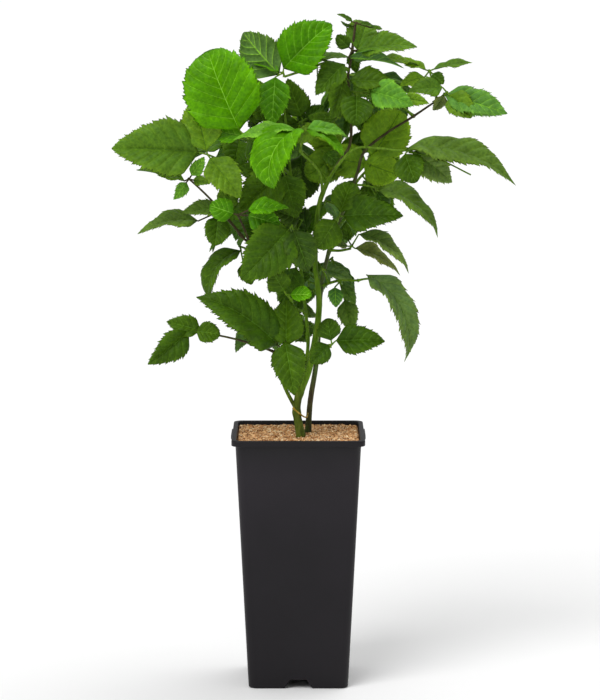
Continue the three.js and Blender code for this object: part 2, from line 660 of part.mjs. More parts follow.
// Masses set leaf by leaf
function growMass({ name, limb, height, stem, leaves }) {
  const carrier = limbs.get(limb);
  const places = [placeOn(carrier, height), ...stem.map((p) => vec(...p))];
  const fine = curveThrough(places).getSpacedPoints(STEM_STEPS);
  const grown = leaves.map(({ at, joint, leaflets }) => {
    const end = vec(...joint);
    return { at, joint: end, leaflets: leaflets.map((numbers) => frontLeaflet(end, numbers)) };
  });
  take(fine, name, false);
  for (const leaf of grown) {
    take(petioleRoute(fine[Math.round(leaf.at * STEM_STEPS)], leaf.joint), name, false);
    for (const leaflet of leaf.leaflets) take(samplesOf(leaflet), name, true);
  }
  return joinSpray(carrier, height, fine, grown);
}

function joinSpray(carrier, height, fine, leaves) {
  const clear = clearStart(fine, carrier, height, STEM_RADIUS);
  const coarse = clear.filter((p, k) => k % STEM_STRIDE === 0 || k === clear.length - 1);
  const solids = [tube(coarse, (t) => STEM_RADIUS - STEM_TAPER * t, STEM_SIDES)];
  for (const { at, joint, leaflets } of leaves) {
    const from = fine[Math.max(Math.round(at * STEM_STEPS), fine.length - clear.length)];
    solids.push(tube(petioleRoute(from, joint), () => PETIOLE_RADIUS, PETIOLE_SIDES));
    for (const leaflet of leaflets) solids.push(leafletSolid(joint, leaflet));
  }
  return largestBody(wasm.Manifold.union(solids).simplify(WELD));
}

// The seeded rule: leaves of three leaflets stand out to either side of the stem in turn. A leaf
// is drawn again while it would leave the space or touch a limb or another mass, and then skipped.
function growSpray(spray) {
  const { name, limb, height, compass, reach, rise, leaves, size, seed } = spray;
  const draw = generator(seed);
  const between = ([low, high]) => low + (high - low) * draw();
  const carrier = limbs.get(limb);
  const start = placeOn(carrier, height);
  const out = (angle, up) => vec(Math.cos(radians(angle)), Math.sin(radians(angle)), up).normalize();
  const end = start.clone().addScaledVector(out(compass, 0), reach).add(vec(0, 0, rise));
  const middle = start.clone().lerp(end, 0.45).add(vec(0, 0, reach * SPRAY_RISE));
  const fine = curveThrough([start, middle, end]).getSpacedPoints(STEM_STEPS);
  take(fine, name, false);
  const grown = [];
  for (let i = 0; i < leaves; i += 1) {
    const last = i === leaves - 1;
    const at = last ? 1 : FIRST_LEAF + (LEAF_SPAN * i) / (leaves - 1);
    const side = i % 2 === 0 ? 1 : -1;
    const from = fine[Math.round(at * STEM_STEPS)];
    for (let attempt = 0; attempt < TRIES; attempt += 1) {
      const turn = last ? between(TURN_AHEAD) : side * between(TURN_ASIDE);
      const petiole = last ? between(PETIOLE_AHEAD) : size * between(PETIOLE_ASIDE);
      const joint = from.clone().addScaledVector(out(compass + turn, between(PETIOLE_CLIMB)), petiole);
      const scale = size * between(LEAF_SCALE);
      const leaflets = ternate(joint, compass + turn, scale, between);
      const samples = [...petioleRoute(from, joint).slice(1), ...leaflets.flatMap(samplesOf)];
      if (isClear(samples, name, spray)) {
        take(samples, name, true);
        grown.push({ at, joint, leaflets });
        break;
      }
    }
  }
  return joinSpray(carrier, height, fine, grown);
}

// Three leaflets on a joint: one ahead and one to either side, drooping by a seeded angle.
function ternate(joint, heading, size, between) {
  return [0, -1, 1].map((side) => {
    const angle = radians(heading + side * between(LATERAL_SPREAD));
    const droop = radians(between(LEAFLET_DROOP));
    const level = Math.cos(droop);
    const along = vec(Math.cos(angle) * level, Math.sin(angle) * level, -Math.sin(droop));
    const face = UP.clone().addScaledVector(along, -UP.dot(along)).normalize();
    const left = face.clone().cross(along);
    const roll = radians(between(LEAFLET_ROLL));
    const up = face.clone().multiplyScalar(Math.cos(roll)).addScaledVector(left, Math.sin(roll));
    const length = size * (side === 0 ? 1 : LATERAL_SIZE);
    const width = length * between(LEAFLET_WIDTH);
    const stalk = side === 0 ? size * TERMINAL_STALK : PETIOLULE;
    const base = joint.clone().addScaledVector(along, stalk);
    return { base, along, up, length, width, arch: between(LEAFLET_ARCH) };
  });
}

// The whole plant
const group = new THREE.Group();

function addPiece(name, solid, colour, roughness) {
  const material = new THREE.MeshStandardMaterial({ color: colour, roughness, metalness: 0 });
  const mesh = new THREE.Mesh(geometryOf(solid), material);
  mesh.name = name;
  group.add(mesh);
}

addPiece('pot', potShell(), 0x2b292d, 0.45);
addPiece('compost', fill(POT_FLOOR + GAP, MULCH_TOP - MULCH_DEPTH - GAP, GAP), 0x3a2a1c, 0.95);
addPiece('mulch', fill(MULCH_TOP - MULCH_DEPTH, MULCH_TOP, GAP), 0xa37f58, 0.95);
for (const limb of LIMBS) {
  addPiece(limb.name, growLimb(limb), limb.name === 'dark_cane' ? 0x4a4230 : 0x5c7a2a, 0.6);
}
for (const mass of MASSES) {
  addPiece(mass.name, growMass(mass), mass.name.endsWith('front') ? BRIGHT_GREEN : GREEN, 0.6);
}
for (const spray of SPRAYS) {
  addPiece(spray.name, growSpray(spray), DARK_GREEN, 0.6);
}

export default group;
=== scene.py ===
import math
import random
from collections import namedtuple
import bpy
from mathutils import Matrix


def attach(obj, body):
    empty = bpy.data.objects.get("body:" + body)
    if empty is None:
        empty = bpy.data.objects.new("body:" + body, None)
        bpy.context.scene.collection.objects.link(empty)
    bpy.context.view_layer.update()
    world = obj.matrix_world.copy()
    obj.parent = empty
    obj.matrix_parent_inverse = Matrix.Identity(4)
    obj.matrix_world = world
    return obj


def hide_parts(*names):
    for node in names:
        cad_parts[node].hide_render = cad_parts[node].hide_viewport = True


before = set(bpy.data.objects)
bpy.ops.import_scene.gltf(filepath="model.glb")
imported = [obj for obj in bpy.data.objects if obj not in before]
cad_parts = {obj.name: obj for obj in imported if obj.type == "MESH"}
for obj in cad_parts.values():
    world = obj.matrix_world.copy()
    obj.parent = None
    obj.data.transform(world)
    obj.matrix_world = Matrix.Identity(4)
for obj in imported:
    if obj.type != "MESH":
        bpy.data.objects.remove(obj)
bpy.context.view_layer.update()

from types import SimpleNamespace as Item

import bmesh
import bpy
import numpy as np
from mathutils import noise

# Everything about the plant is in millimetres and becomes metres when a mesh is made.
MM = 0.001

# Pot
POT_HEIGHT = 257
POT_FOOT_HALF = 50.5
POT_TOP_HALF = 63.3
POT_WALL = 1.4
POT_FLOOR = 12
POT_CORNER = 8
POT_FOOT_BEVEL = 2
LIP_HALF = 67
LIP_DEPTH = 6
LIP_INNER_HALF = 62.3
LIP_ROUND = 1.1
TAB_LENGTH = 46
TAB_REACH = 1.2
TAB_BELOW_RIM = 1.5
NOTCH_HEIGHT = 9.5
NOTCH_FOOT_WIDTH = 30
NOTCH_TOP_WIDTH = 17
NOTCH_DEPTH = 42
GAP = 0.3
MULCH_TOP = 254

# Leaf proportions
LEAF_FOLD = 12
BLADE_BASE = 0.5

# How sharp the tip of a blade is, at widths given as a share of its length
TIP_WIDTHS = (0.4, 0.58, 0.72, 0.84)
TIP_SHARPNESS = (1.25, 0.95, 0.95, 0.6)
PETIOLULE = 4
LATERAL_SIZE = 0.82
TERMINAL_STALK = 0.2

# Limbs and twigs
LIMB_STEPS = 80
LIMB_STRIDE = 5
FLARE_FALL = 28
STEM_RADIUS = 1.5
STEM_STEPS = 40
PETIOLE_RADIUS = 1.15
PETIOLE_RISE = 0.08
KNOT_REACH = 1.6
START_STEP = 0.1
CURVE_SAMPLES = 200

# How near the parts of one mass may come to another mass and to a limb
LEAF_CLEARANCE = 6.5
LIMB_CLEARANCE = 3
TRIES = 200

# Places on a leaflet that are tried for their distance to others: shares of its length and half width
SAMPLE_SHARES = (0.12, 0.3, 0.5, 0.7, 0.9)
SAMPLE_SIDES = (-1, -0.5, 0, 0.5, 1)

# Ranges of the seeded rule: angles in degrees, lengths in mm or as a share of the leaf's size
SPRAY_RISE = 0.08
SPRAY_MIDDLE = 0.45
FIRST_LEAF = 0.4
LEAF_SPAN = 0.5
TURN_ASIDE = (40, 80)
TURN_AHEAD = (-20, 20)
PETIOLE_ASIDE = (0.4, 0.66)
PETIOLE_AHEAD = (8, 14)
PETIOLE_CLIMB = (0, 0.7)
LEAF_SCALE = (0.84, 1.12)
LATERAL_SPREAD = (56, 76)
LEAFLET_DROOP = (16, 66)
LEAFLET_ROLL = (-30, 30)
LEAFLET_WIDTH = (0.62, 0.74)
LEAFLET_ARCH = (14, 46)

FRONT = np.array([0.0, -1.0, 0.0])
UP = np.array([0.0, 0.0, 1.0])

# The camera: its place, pitch below level in degrees, lens and height of the sensor
EYE = np.array([1.7, -3000.0, 747.1])
PITCH = 7.73
LENS = 102.2
SENSOR = 24

# Canes and boughs. Each one is a smooth curve through a few places on it, with a radius at its
# foot and at its tip. A bough starts at a height on the limb that carries it.
LIMBS = [
    dict(name="green_cane", foot=4.1, tip=1.9, flare=1.2,
         route=[[2.6, -20, 254.3], [-1.6, -14, 285], [12, -10, 326], [21, -6, 385], [17, -2, 430],
                [21, 0, 488], [31.7, 0, 516]]),
    dict(name="dark_cane", foot=2.9, tip=1.5, flare=0.8,
         route=[[9.7, 2, 254.3], [12, 7, 285], [19, 11, 330], [24, 10, 407], [37, 4, 460],
                [53, 2, 499], [60, 2, 522]]),
    dict(name="left_branch", foot=2, tip=1.5, on="green_cane", height=278,
         route=[[-14.4, -10, 305], [-20, -9, 323], [-21, -18, 337]]),
    dict(name="slim_cane", foot=1.9, tip=1.1, on="green_cane", height=297,
         route=[[6, -4, 318], [9.8, 1, 345], [5, 6, 400], [-3, 8, 465], [-9, 4, 531],
                [-16, -4, 606]]),
    dict(name="top_bough", foot=1.7, tip=1.1, on="green_cane", height="tip",
         route=[[38.6, 2, 527], [51.8, 4, 548], [52, 3, 590], [50, 0, 617], [53, 0, 634]]),
    dict(name="right_bough", foot=1.5, tip=1, on="dark_cane", height="tip",
         route=[[66, 6, 540], [90, 11, 560], [114, 10, 575], [136, 7, 590]]),
]

# Masses of foliage on the side that faces the front: name, limb, height on the limb, places along the
# stem, and leaves. A leaf: share of the stem where it starts, the joint where it ends, one tone a
# leaflet, and leaflets. A leaflet: angle in the upright plane that faces the front, anticlockwise from
# +X; angle turned toward the front; length; width; roll of its upper face from the front toward its
# left-hand side; bend from base to tip; and its base seen from the joint.
MASSES = [
    ("leaf_mass_top", "top_bough", "tip", [[54, 0, 643], [57, 2, 668]], [
        (0.2, [54, -2, 643], "mid mid spring olive dark", [
            [70, -42, 42, 34, 0, 22, 5, 0, 0], [5, 4, 62, 36, 55, 22], [-9, 4, 58, 34, 108, 20, -4, -1, -7],
            [-9, -12, 38, 24, 76, 10, 31, 8, -9], [136, 10, 18, 15, 10, 14]]),
        (1, [58, 2, 670], "dark dark dark dark", [
            [155, 5, 18, 8, -55, 20], [-6, 5, 13, 7, 50, 15], [-9, -8, 13, 7, 50, 15, 14, 2, -4],
            [156, -20, 15, 8, 60, 15, -3, 4, -4]])]),
    ("leaf_mass_upper_left", "top_bough", 622, [[32, -5, 631], [2, -9, 622], [-14, -10, 617]], [
        (1, [-15, -11, 621], "cool bright fresh fresh", [
            [131, 6, 56, 44, 160, 18, -4, 0, -2], [44, 8, 67, 52, 18, 30, 0, 0, 4],
            [-94, 14, 50, 34, -8, 14, -8, -4, -4], [163, -10, 31, 22, -72, 12]]),
        (0.25, [16, -2, 634], "mid", [[3, -14, 34, 26, 74, 16]])]),
    ("leaf_mass_upper_middle", "top_bough", 596, [[50, -12, 604], [48, -18, 610]], [
        (1, [46, -18, 618], "dark dark dark", [
            [226, 10, 43, 30, -28, 18, 0, 0, 12], [-106, 14, 42, 30, 30, 14],
            [-2, 6, 44, 32, 50, 22, 5, 0, -5]]),
        (0.5, [58, -22, 602], "dark spring olive", [
            [-92, 38, 36, 34, 5, 20], [-18, 12, 47, 32, 24, 22, 13, -4, 2],
            [-10, 0, 28, 15, 30, 14, 46, 6, -6]])]),
    ("leaf_mass_right_tip", "right_bough", "tip", [[144, 5, 596], [147, 3, 599]], [
        (1, [149, 0, 601], "cool mid dull mid cool", [
            [-16, 8, 66, 36, 40, 14, -2, 0, -3], [-45, 26, 34, 27, 10, 18], [-125, -16, 20, 15, 30, 10],
            [184, 12, 36, 24, -40, 14, -4, 0, 5], [-26, -22, 56, 30, 30, 24]]),
        (0.3, [132, 10, 622], "mid olive olive dark", [
            [10, 6, 40, 18, 66, 16, 4, 0, 2], [160, -18, 35, 16, -56, 10],
            [198, 14, 27, 18, -42, 16, -5, 0, -6], [-42, 20, 16, 13, 10, 14]])]),
    ("leaf_mass_right", "green_cane", 507,
     [[38, -12, 526], [57, -22, 546], [80, -34, 547], [100, -39, 545]], [
        (1, [109, -40, 545], "slate dark grey", [
            [-17, 8, 117, 49, 62, 65, -3, 0, 1], [-70, 24, 32, 32, -10, 20, -3, 0, -3],
            [-38, -14, 54, 32, 16, 24, 5, 4, -1]])]),
    ("leaf_mass_right_inner", "dark_cane", 505, [[62, 10, 514], [72, 18, 524]], [
        (1, [74, 20, 527], "olive olive olive", [
            [58, -6, 58, 50, 6, 18, 0, 0, 6], [-20, 6, 38, 36, 8, 14, -8, 0, 2],
            [172, -6, 46, 36, -8, 14]]),
        (0.1, [77, -14, 506], "slate dark", [[-36.7, 8, 79, 38, 62, 72], [-66, -24, 30, 22, 30, 20]])]),
    ("leaf_mass_middle_right", "dark_cane", 452, [[37, -12, 462], [39, -24, 474]], [
        (1, [40.6, -30, 479], "dark dark dark", [
            [2, 6, 61, 40, 34, 18], [69, -18, 34, 30, 5, 14], [-124, 20, 35, 31, 8, 16, -3, 0, -4]])]),
    ("leaf_mass_right_hanging", "dark_cane", 440, [[42, 3, 441], [52, 1, 443]], [
        (1, [54, 0, 446], "dull grey dull dark", [
            [177, 14, 17, 10, -56, 10], [-36, 8, 66, 28, 62, 60, 7, -10, 13], [-32, -6, 55, 25, 62, 50],
            [100, 0, 20, 13, 20, 14, -3, 8, 4]])]),
    ("leaf_mass_lower_right", "dark_cane", 402, [[33, 6, 408], [43, 2, 411], [60, -10, 412]], [
        (1, [76, -20, 415], "grey", [[-66, 8, 98, 42, 50, 106, -7, 0, 4]]),
        (0.4, [42, 4, 409], "slate cool slate", [
            [-54, 6, 24, 14, 20, 16], [-87, 20, 21, 16, 10, 14, -5, -3, -5],
            [-77, 4, 34, 22, 8, 16, 5, 5, -19]]),
        (0.2, [24, -8, 424], "grey", [[-19, 8, 28, 17, 42, 16]])]),
    ("leaf_mass_foot_right", "green_cane", 336, [[24, -20, 342], [32, -28, 347]], [
        (1, [33.7, -30, 349.5], "dark dark dark", [
            [1, 6, 50, 31, 24, 20, 4, 0, 4], [100, -10, 23, 24, 6, 14],
            [-137, 20, 27, 22, 8, 16, -3, 0, 0]])]),
    ("leaf_mass_foot_left", "left_branch", "tip", [[-20, -27, 343], [-17, -36, 346]], [
        (1, [-15.2, -40, 346], "dark dark dark", [
            [147, 8, 99, 54, -38, 64, -5, 0, 4], [90, -6, 47, 37, 4, 16, 3, 0, 3],
            [-80, 12, 55, 35, 4, 18, 2, -2, 8]]),
        (0.2, [-106, -30, 362.5], "dark dark dark", [
            [-142, 10, 53, 30, 16, 20, -4, 0, 0], [166, -6, 36, 23, -22, 14, 8, 2, 1],
            [-8, 8, 25, 22, 16, 14, 3, 0, 1]])]),
    ("leaf_mass_front", "green_cane", 500, [[20, -26, 524], [2, -56, 545]], [
        (1, [4.6, -75, 570], "spring lime fresh spring", [
            [187, 6, 66, 30, -70, 24, -5, 0, -3], [-118, 22, 70, 55, -46, 126], [-34, 6, 46, 30, 68, 48],
            [-11, -8, 44, 28, 68, 26]])]),
    ("leaf_mass_left_wing", "slim_cane", 500, [[-32, -6, 514], [-62, -26, 524]], [
        (1, [-90, -50, 542], "mid olive mid", [
            [177, 6, 87, 60, -26, 26, -8, 0, 2], [103, -10, 54, 42, 10, 14], [-51, 16, 52, 35, 16, 18]])]),
    ("leaf_mass_left", "slim_cane", 436, [[-28, -10, 440], [-47, -22, 449], [-58, -28, 460]], [
        (1, [-79, -35, 484], "slate dark mid slate", [
            [190, 8, 63, 33, -66, 34, -21, 0, -9], [-97, 18, 31, 26, 8, 16], [62, -20, 28, 24, -20, 14],
            [184, 4, 42, 22, -44, 24, 4, 0, 3]]),
        (0.8, [-60, -52, 482], "fresh bright fresh", [
            [-15, 14, 34, 27, 10, 14, 10, -2, 0], [4, 12, 42, 28, 62, 16, 10, -12, 6],
            [160, 10, 26, 24, -10, 14]]),
        (0.95, [-108.4, -45.3, 517.3], "spring mid spring olive", [
            [-127, 14, 22, 14, 20, 14], [-10, 10, 18, 12, 30, 14], [55, 0, 23, 14, -10, 14],
            [166, 6, 50, 26, -74, 14, -4.5, 1, -1.5]])]),
    ("leaf_mass_round", "slim_cane", 536, [[-26, -18, 546], [-44, -42, 555]], [
        (1, [-52, -54, 560], "bright dark fresh", [
            [112, -4, 88, 76, 4, 66, -6, 0, 6], [-42, 18, 42, 32, 10, 16], [172, -24, 34, 26, -30, 18]]),
        (0.3, [-15, -20, 524], "dark dark dark", [
            [-139, 14, 56, 42, 4, 18], [-74, 8, 46, 34, 8, 16], [178, 16, 44, 30, 6, 16]])]),
    ("leaf_mass_middle_left", "slim_cane", 414, [[-18, -12, 424], [-30, -20, 434]], [
        (1, [-58.5, -15, 447], "dark dark", [
            [-122, 8, 62, 37, -58, 106, 1, 0, -4], [-68, 14, 24, 19, 8, 14, 3, -2, -16]]),
        (0.5, [-6.2, -60, 472], "dark deep", [[-134, 16, 71, 52, 6, 22], [-70, 10, 44, 34, 10, 16]]),
        (0.15, [-1.3, -20, 430], "dark", [[-112, 10, 40, 30, 10, 16]])]),
    ("leaf_mass_inner_low", "slim_cane", 376, [[-3, -18, 385], [-7, -42, 396]], [
        (1, [-12, -54, 403], "bright dark", [[0, 12, 22, 19, 46, 14], [120, 24, 30, 24, 0, 14]])]),
    ("leaf_mass_inner_left", "slim_cane", 556, [[-8, 10, 564], [0, 10, 569]], [
        (1, [4.7, 10, 571.5], "dark dark dark", [
            [110, 4, 42, 30, 10, 16], [-160, 6, 40, 30, 12, 16], [36, 4, 22, 17, 8, 14]])]),
    ("leaf_mass_inner_right", "green_cane", 494, [[30, 18, 510], [40, 30, 532]], [
        (1, [47, 34, 540], "mid olive olive", [
            [-146, 6, 44, 38, 8, 16], [146, -8, 44, 34, -6, 16], [184, -4, 22, 22, -6, 14]]),
        (0.5, [4, 58, 538], "deep", [[-96, 6, 48, 46, 0, 18]]),
        (0.9, [2, 100, 548], "dark dark", [[-98, -24, 56, 40, 176, 26], [192, -22, 46, 34, -142, 22]])]),
]

# Sprays that fill the crown behind, each grown by the seeded rule below: name, limb, height on the
# limb, compass angle (anticlockwise from +X), reach, rise, number of leaves, their size, seed, and the
# space that it keeps to, between two places along X and two heights.
SPRAYS = [
    ("leaf_mass_back_low", "slim_cane", 350, 104, 70, 18, 3, 52, 11, (-84, 24), (322, 404)),
    ("leaf_mass_back_lower", "dark_cane", 384, 92, 82, 30, 3, 52, 23, (-62, 60), (372, 450)),
    ("leaf_mass_back_middle_left", "slim_cane", 446, 122, 86, 24, 4, 58, 37, (-95, 8), (412, 512)),
    ("leaf_mass_back_middle_right", "dark_cane", 458, 62, 86, 22, 4, 58, 59, (0, 106), (412, 514)),
    ("leaf_mass_back_upper_left", "slim_cane", 516, 128, 96, 28, 4, 60, 61, (-134, -4), (478, 575)),
    ("leaf_mass_back_upper_right", "right_bough", 576, 112, 76, 4, 4, 56, 83, (20, 106), (510, 604)),
    ("leaf_mass_back_crown_left", "slim_cane", 586, 112, 74, 20, 3, 56, 91, (-110, -10), (545, 650)),
    ("leaf_mass_back_crown", "top_bough", 588, 72, 76, 22, 4, 54, 97, (20, 118), (548, 655)),
]


# Small helpers
def vec(*p):
    return np.array(p, float)


def unit(v):
    return v / np.linalg.norm(v)


def generator(seed):
    """Seeded numbers from 0 to 1."""
    mask = 0xFFFFFFFF
    state = seed

    def draw():
        nonlocal state
        state = (state + 0x6D2B79F5) & mask
        t = ((state ^ (state >> 15)) * (state | 1)) & mask
        t ^= (t + (((t ^ (t >> 7)) * (t | 61)) & mask)) & mask
        return ((t ^ (t >> 14)) & mask) / (mask + 1)
    return draw


def curve_place(points, t):
    """A place on the centripetal Catmull-Rom curve through the points, t from 0 to 1."""
    last = len(points) - 1
    k = min(int(last * t), last - 1)
    w = last * t - k
    b, c = points[k], points[k + 1]
    a = points[k - 1] if k > 0 else 2 * points[0] - points[1]
    d = points[k + 2] if k + 2 <= last else 2 * points[last] - points[last - 1]
    da, db, dc = (np.linalg.norm(q - p) ** 0.5 for p, q in ((a, b), (b, c), (c, d)))
    start = ((b - a) / da - (c - a) / (da + db) + (c - b) / db) * db
    end = ((c - b) / db - (d - b) / (db + dc) + (d - c) / dc) * db
    return (b + start * w + (3 * c - 3 * b - 2 * start - end) * w ** 2
            + (2 * b - 2 * c + start + end) * w ** 3)


def smooth_route(points, steps):
    """Evenly spaced places on the curve through the points."""
    samples = np.array([curve_place(points, i / CURVE_SAMPLES) for i in range(CURVE_SAMPLES + 1)])
    lengths = np.concatenate([[0], np.cumsum(np.linalg.norm(np.diff(samples, axis=0), axis=1))])
    wanted = np.linspace(0, lengths[-1], steps + 1)
    shares = np.interp(wanted, lengths, np.linspace(0, 1, CURVE_SAMPLES + 1))
    return np.array([curve_place(points, t) for t in shares])


# Skeleton: limbs
limbs = {}


def nearest_on(limb, points):
    """Distance from each point to a limb's middle line, the place there and the limb's radius."""
    foot, run = limb.middle[:-1], np.diff(limb.middle, axis=0)
    rel = points[:, None, :] - foot[None]
    share = np.clip((rel * run).sum(2) / (run * run).sum(1), 0, 1)
    places = foot + share[..., None] * run
    distances = np.linalg.norm(places - points[:, None, :], axis=2)
    best = distances.argmin(1)
    rows = np.arange(len(points))
    return distances[rows, best], places[rows, best], limb.radius_at(best / len(run))


def touches_limb(points, clearance):
    for limb in limbs.values():
        distance, _, radius = nearest_on(limb, points)
        if (distance < radius + clearance).any():
            return True
    return False


def place_on(limb, height):
    if height == "tip":
        return limb.route[-1]
    return limb.route[np.argmax(limb.route[:, 2] >= height)]


def clear_start(route, limb, height, radius):
    """The part of a route that is clear of the limb that it starts on, by the gap."""
    if height == "tip":
        return np.vstack([route[0] + 2 * GAP * unit(route[1] - route[0]), route[1:]])
    for k in range(len(route) - 1):
        along = route[k + 1] - route[k]
        steps = math.ceil(np.linalg.norm(along) / START_STEP)
        points = route[k] + along * (np.arange(steps) / steps)[:, None]
        distance, place, limb_radius = nearest_on(limb, points)
        out = (points - place) / np.maximum(distance, 1e-9)[:, None]
        lean = np.sqrt(np.maximum(0, 1 - (out @ unit(along)) ** 2))
        clear = distance >= limb_radius + radius * lean + GAP
        if clear.any():
            return np.vstack([points[clear.argmax()], route[k + 1:]])
    raise ValueError("a route stays inside its limb")


def add_limb(name, foot, tip, route, flare=0, on=None, height=None):
    places = [vec(*p) for p in route]
    if on:
        places.insert(0, place_on(limbs[on], height))
    fine = smooth_route(places, LIMB_STEPS)
    clear = clear_start(fine, limbs[on], height, foot) if on else fine
    keep = [k for k in range(len(clear)) if k % LIMB_STRIDE == 0 or k == len(clear) - 1]
    limbs[name] = Item(route=fine, middle=clear[keep],
                       radius_at=lambda t: foot + (tip - foot) * t + flare * np.exp(-t * FLARE_FALL))


# Skeleton: leaflets
def blade_width(leaflet, t):
    """Width at t as a share of the widest. A broad leaflet has a rounder tip than a narrow one."""
    tip = np.interp(leaflet.width / leaflet.length, TIP_WIDTHS, TIP_SHARPNESS)
    peak = BLADE_BASE / (BLADE_BASE + tip)

    def shape(s):
        return s ** BLADE_BASE * (1 - s) ** tip
    return shape(t) / shape(peak)


def blade_point(leaflet, t, v):
    """Points of a leaflet: t from base to tip, v from -1 to 1 across it."""
    bend = math.radians(leaflet.arch)
    radius = leaflet.length / (2 * math.sin(bend / 2))
    turn = bend * (t - 0.5)
    half = (leaflet.width / 2) * blade_width(leaflet, t)
    lift = radius * (np.cos(turn) - math.cos(bend / 2)) + abs(v) * half * math.tan(math.radians(LEAF_FOLD))
    ahead = radius * (np.sin(turn) + math.sin(bend / 2))
    left = np.cross(leaflet.up, leaflet.along)
    return (leaflet.base + ahead[..., None] * leaflet.along + lift[..., None] * leaflet.up
            + (v * half)[..., None] * left)


def blade_normal(leaflet, t):
    turn = math.radians(leaflet.arch) * (t - 0.5)
    return np.cos(turn)[..., None] * leaflet.up + np.sin(turn)[..., None] * leaflet.along


def rolled(face, along, roll):
    left = np.cross(face, along)
    return face * math.cos(math.radians(roll)) + left * math.sin(math.radians(roll))


def front_leaflet(joint, tone, fan, toward, length, width, roll, arch, *offset):
    a, b = math.radians(fan), math.radians(toward)
    along = vec(math.cos(a) * math.cos(b), -math.sin(b), math.sin(a) * math.cos(b))
    face = unit(FRONT - along * FRONT.dot(along))
    base = joint + (vec(*offset) if offset else along * PETIOLULE)
    return Item(joint=joint, base=base, along=along, up=rolled(face, along, roll), length=length,
                width=width, arch=arch, tone=tone)


def petiole_route(start, joint, steps=3):
    middle = (start + joint) / 2
    middle[2] += np.linalg.norm(joint - start) * PETIOLE_RISE
    end = joint + unit(joint - middle) * KNOT_REACH
    t = np.linspace(0, 1, steps + 1)[:, None]
    return (1 - t) ** 2 * start + 2 * t * (1 - t) * middle + t ** 2 * end


def samples_of(leaflet):
    t, v = np.meshgrid(SAMPLE_SHARES, SAMPLE_SIDES, indexing="ij")
    return blade_point(leaflet, t, v).reshape(-1, 3)


# Skeleton: masses. Places already taken are kept with the name of their mass.
taken = []
masses = {}


def take(points, name, is_blade):
    taken.append((points, name, is_blade))


def is_clear(points, name, across, heights):
    x, z = points[:, 0], points[:, 2]
    if x.min() < across[0] or x.max() > across[1] or z.min() < heights[0] or z.max() > heights[1]:
        return False
    if touches_limb(points, LIMB_CLEARANCE):
        return False
    for others, owner, is_blade in taken:
        if owner != name or is_blade:
            gaps = np.linalg.norm(points[:, None] - others[None], axis=2)
            if gaps.min() <= LEAF_CLEARANCE:
                return False
    return True


def stem_place(stem, share):
    return stem[round(share * STEM_STEPS)]


def add_mass(name, limb, height, stem, leaves):
    fine = smooth_route([place_on(limbs[limb], height)] + [vec(*p) for p in stem], STEM_STEPS)
    take(fine, name, False)
    masses[name] = Item(name=name, stem=fine, leaves=[])
    for at, place, tones, rows in leaves:
        joint = vec(*place)
        start = stem_place(fine, at)
        leaflets = [front_leaflet(joint, tone, *row) for tone, row in zip(tones.split(), rows, strict=True)]
        masses[name].leaves.append(Item(start=start, joint=joint, leaflets=leaflets))
        take(petiole_route(start, joint), name, False)
        for leaflet in leaflets:
            take(samples_of(leaflet), name, True)


def heading(angle, rise):
    return unit(vec(math.cos(math.radians(angle)), math.sin(math.radians(angle)), rise))


def ternate(joint, compass, size, between):
    """Three leaflets on a joint: one ahead and one to either side, drooping by a seeded angle."""
    leaflets = []
    for side in (0, -1, 1):
        angle = math.radians(compass + side * between(LATERAL_SPREAD))
        droop = math.radians(between(LEAFLET_DROOP))
        along = vec(math.cos(angle) * math.cos(droop), math.sin(angle) * math.cos(droop), -math.sin(droop))
        up = rolled(unit(UP - along * UP.dot(along)), along, between(LEAFLET_ROLL))
        length = size * (1 if side == 0 else LATERAL_SIZE)
        width = length * between(LEAFLET_WIDTH)
        stalk = size * TERMINAL_STALK if side == 0 else PETIOLULE
        leaflets.append(Item(joint=joint, base=joint + along * stalk, along=along, up=up, length=length,
                             width=width, arch=between(LEAFLET_ARCH), tone="back"))
    return leaflets


def add_spray(name, limb, height, compass, reach, rise, leaves, size, seed, across, heights):
    """The seeded rule: leaves of three leaflets stand out to either side of the stem in turn. A leaf
    is drawn again while it would leave the space or touch a limb or another mass, and then skipped.
    """
    draw = generator(seed)

    def between(limits):
        return limits[0] + (limits[1] - limits[0]) * draw()
    start = place_on(limbs[limb], height)
    end = start + heading(compass, 0) * reach + vec(0, 0, rise)
    middle = start + (end - start) * SPRAY_MIDDLE + vec(0, 0, reach * SPRAY_RISE)
    fine = smooth_route([start, middle, end], STEM_STEPS)
    take(fine, name, False)
    masses[name] = Item(name=name, stem=fine, leaves=[])
    for i in range(leaves):
        last = i == leaves - 1
        side = 1 if i % 2 == 0 else -1
        origin = stem_place(fine, 1 if last else FIRST_LEAF + LEAF_SPAN * i / (leaves - 1))
        for _ in range(TRIES):
            turn = between(TURN_AHEAD) if last else side * between(TURN_ASIDE)
            petiole = between(PETIOLE_AHEAD) if last else size * between(PETIOLE_ASIDE)
            joint = origin + heading(compass + turn, between(PETIOLE_CLIMB)) * petiole
            leaflets = ternate(joint, compass + turn, size * between(LEAF_SCALE), between)
            samples = np.vstack([petiole_route(origin, joint)[1:]] + [samples_of(x) for x in leaflets])
            if is_clear(samples, name, across, heights):
                take(samples, name, True)
                masses[name].leaves.append(Item(start=origin, joint=joint, leaflets=leaflets))
                break


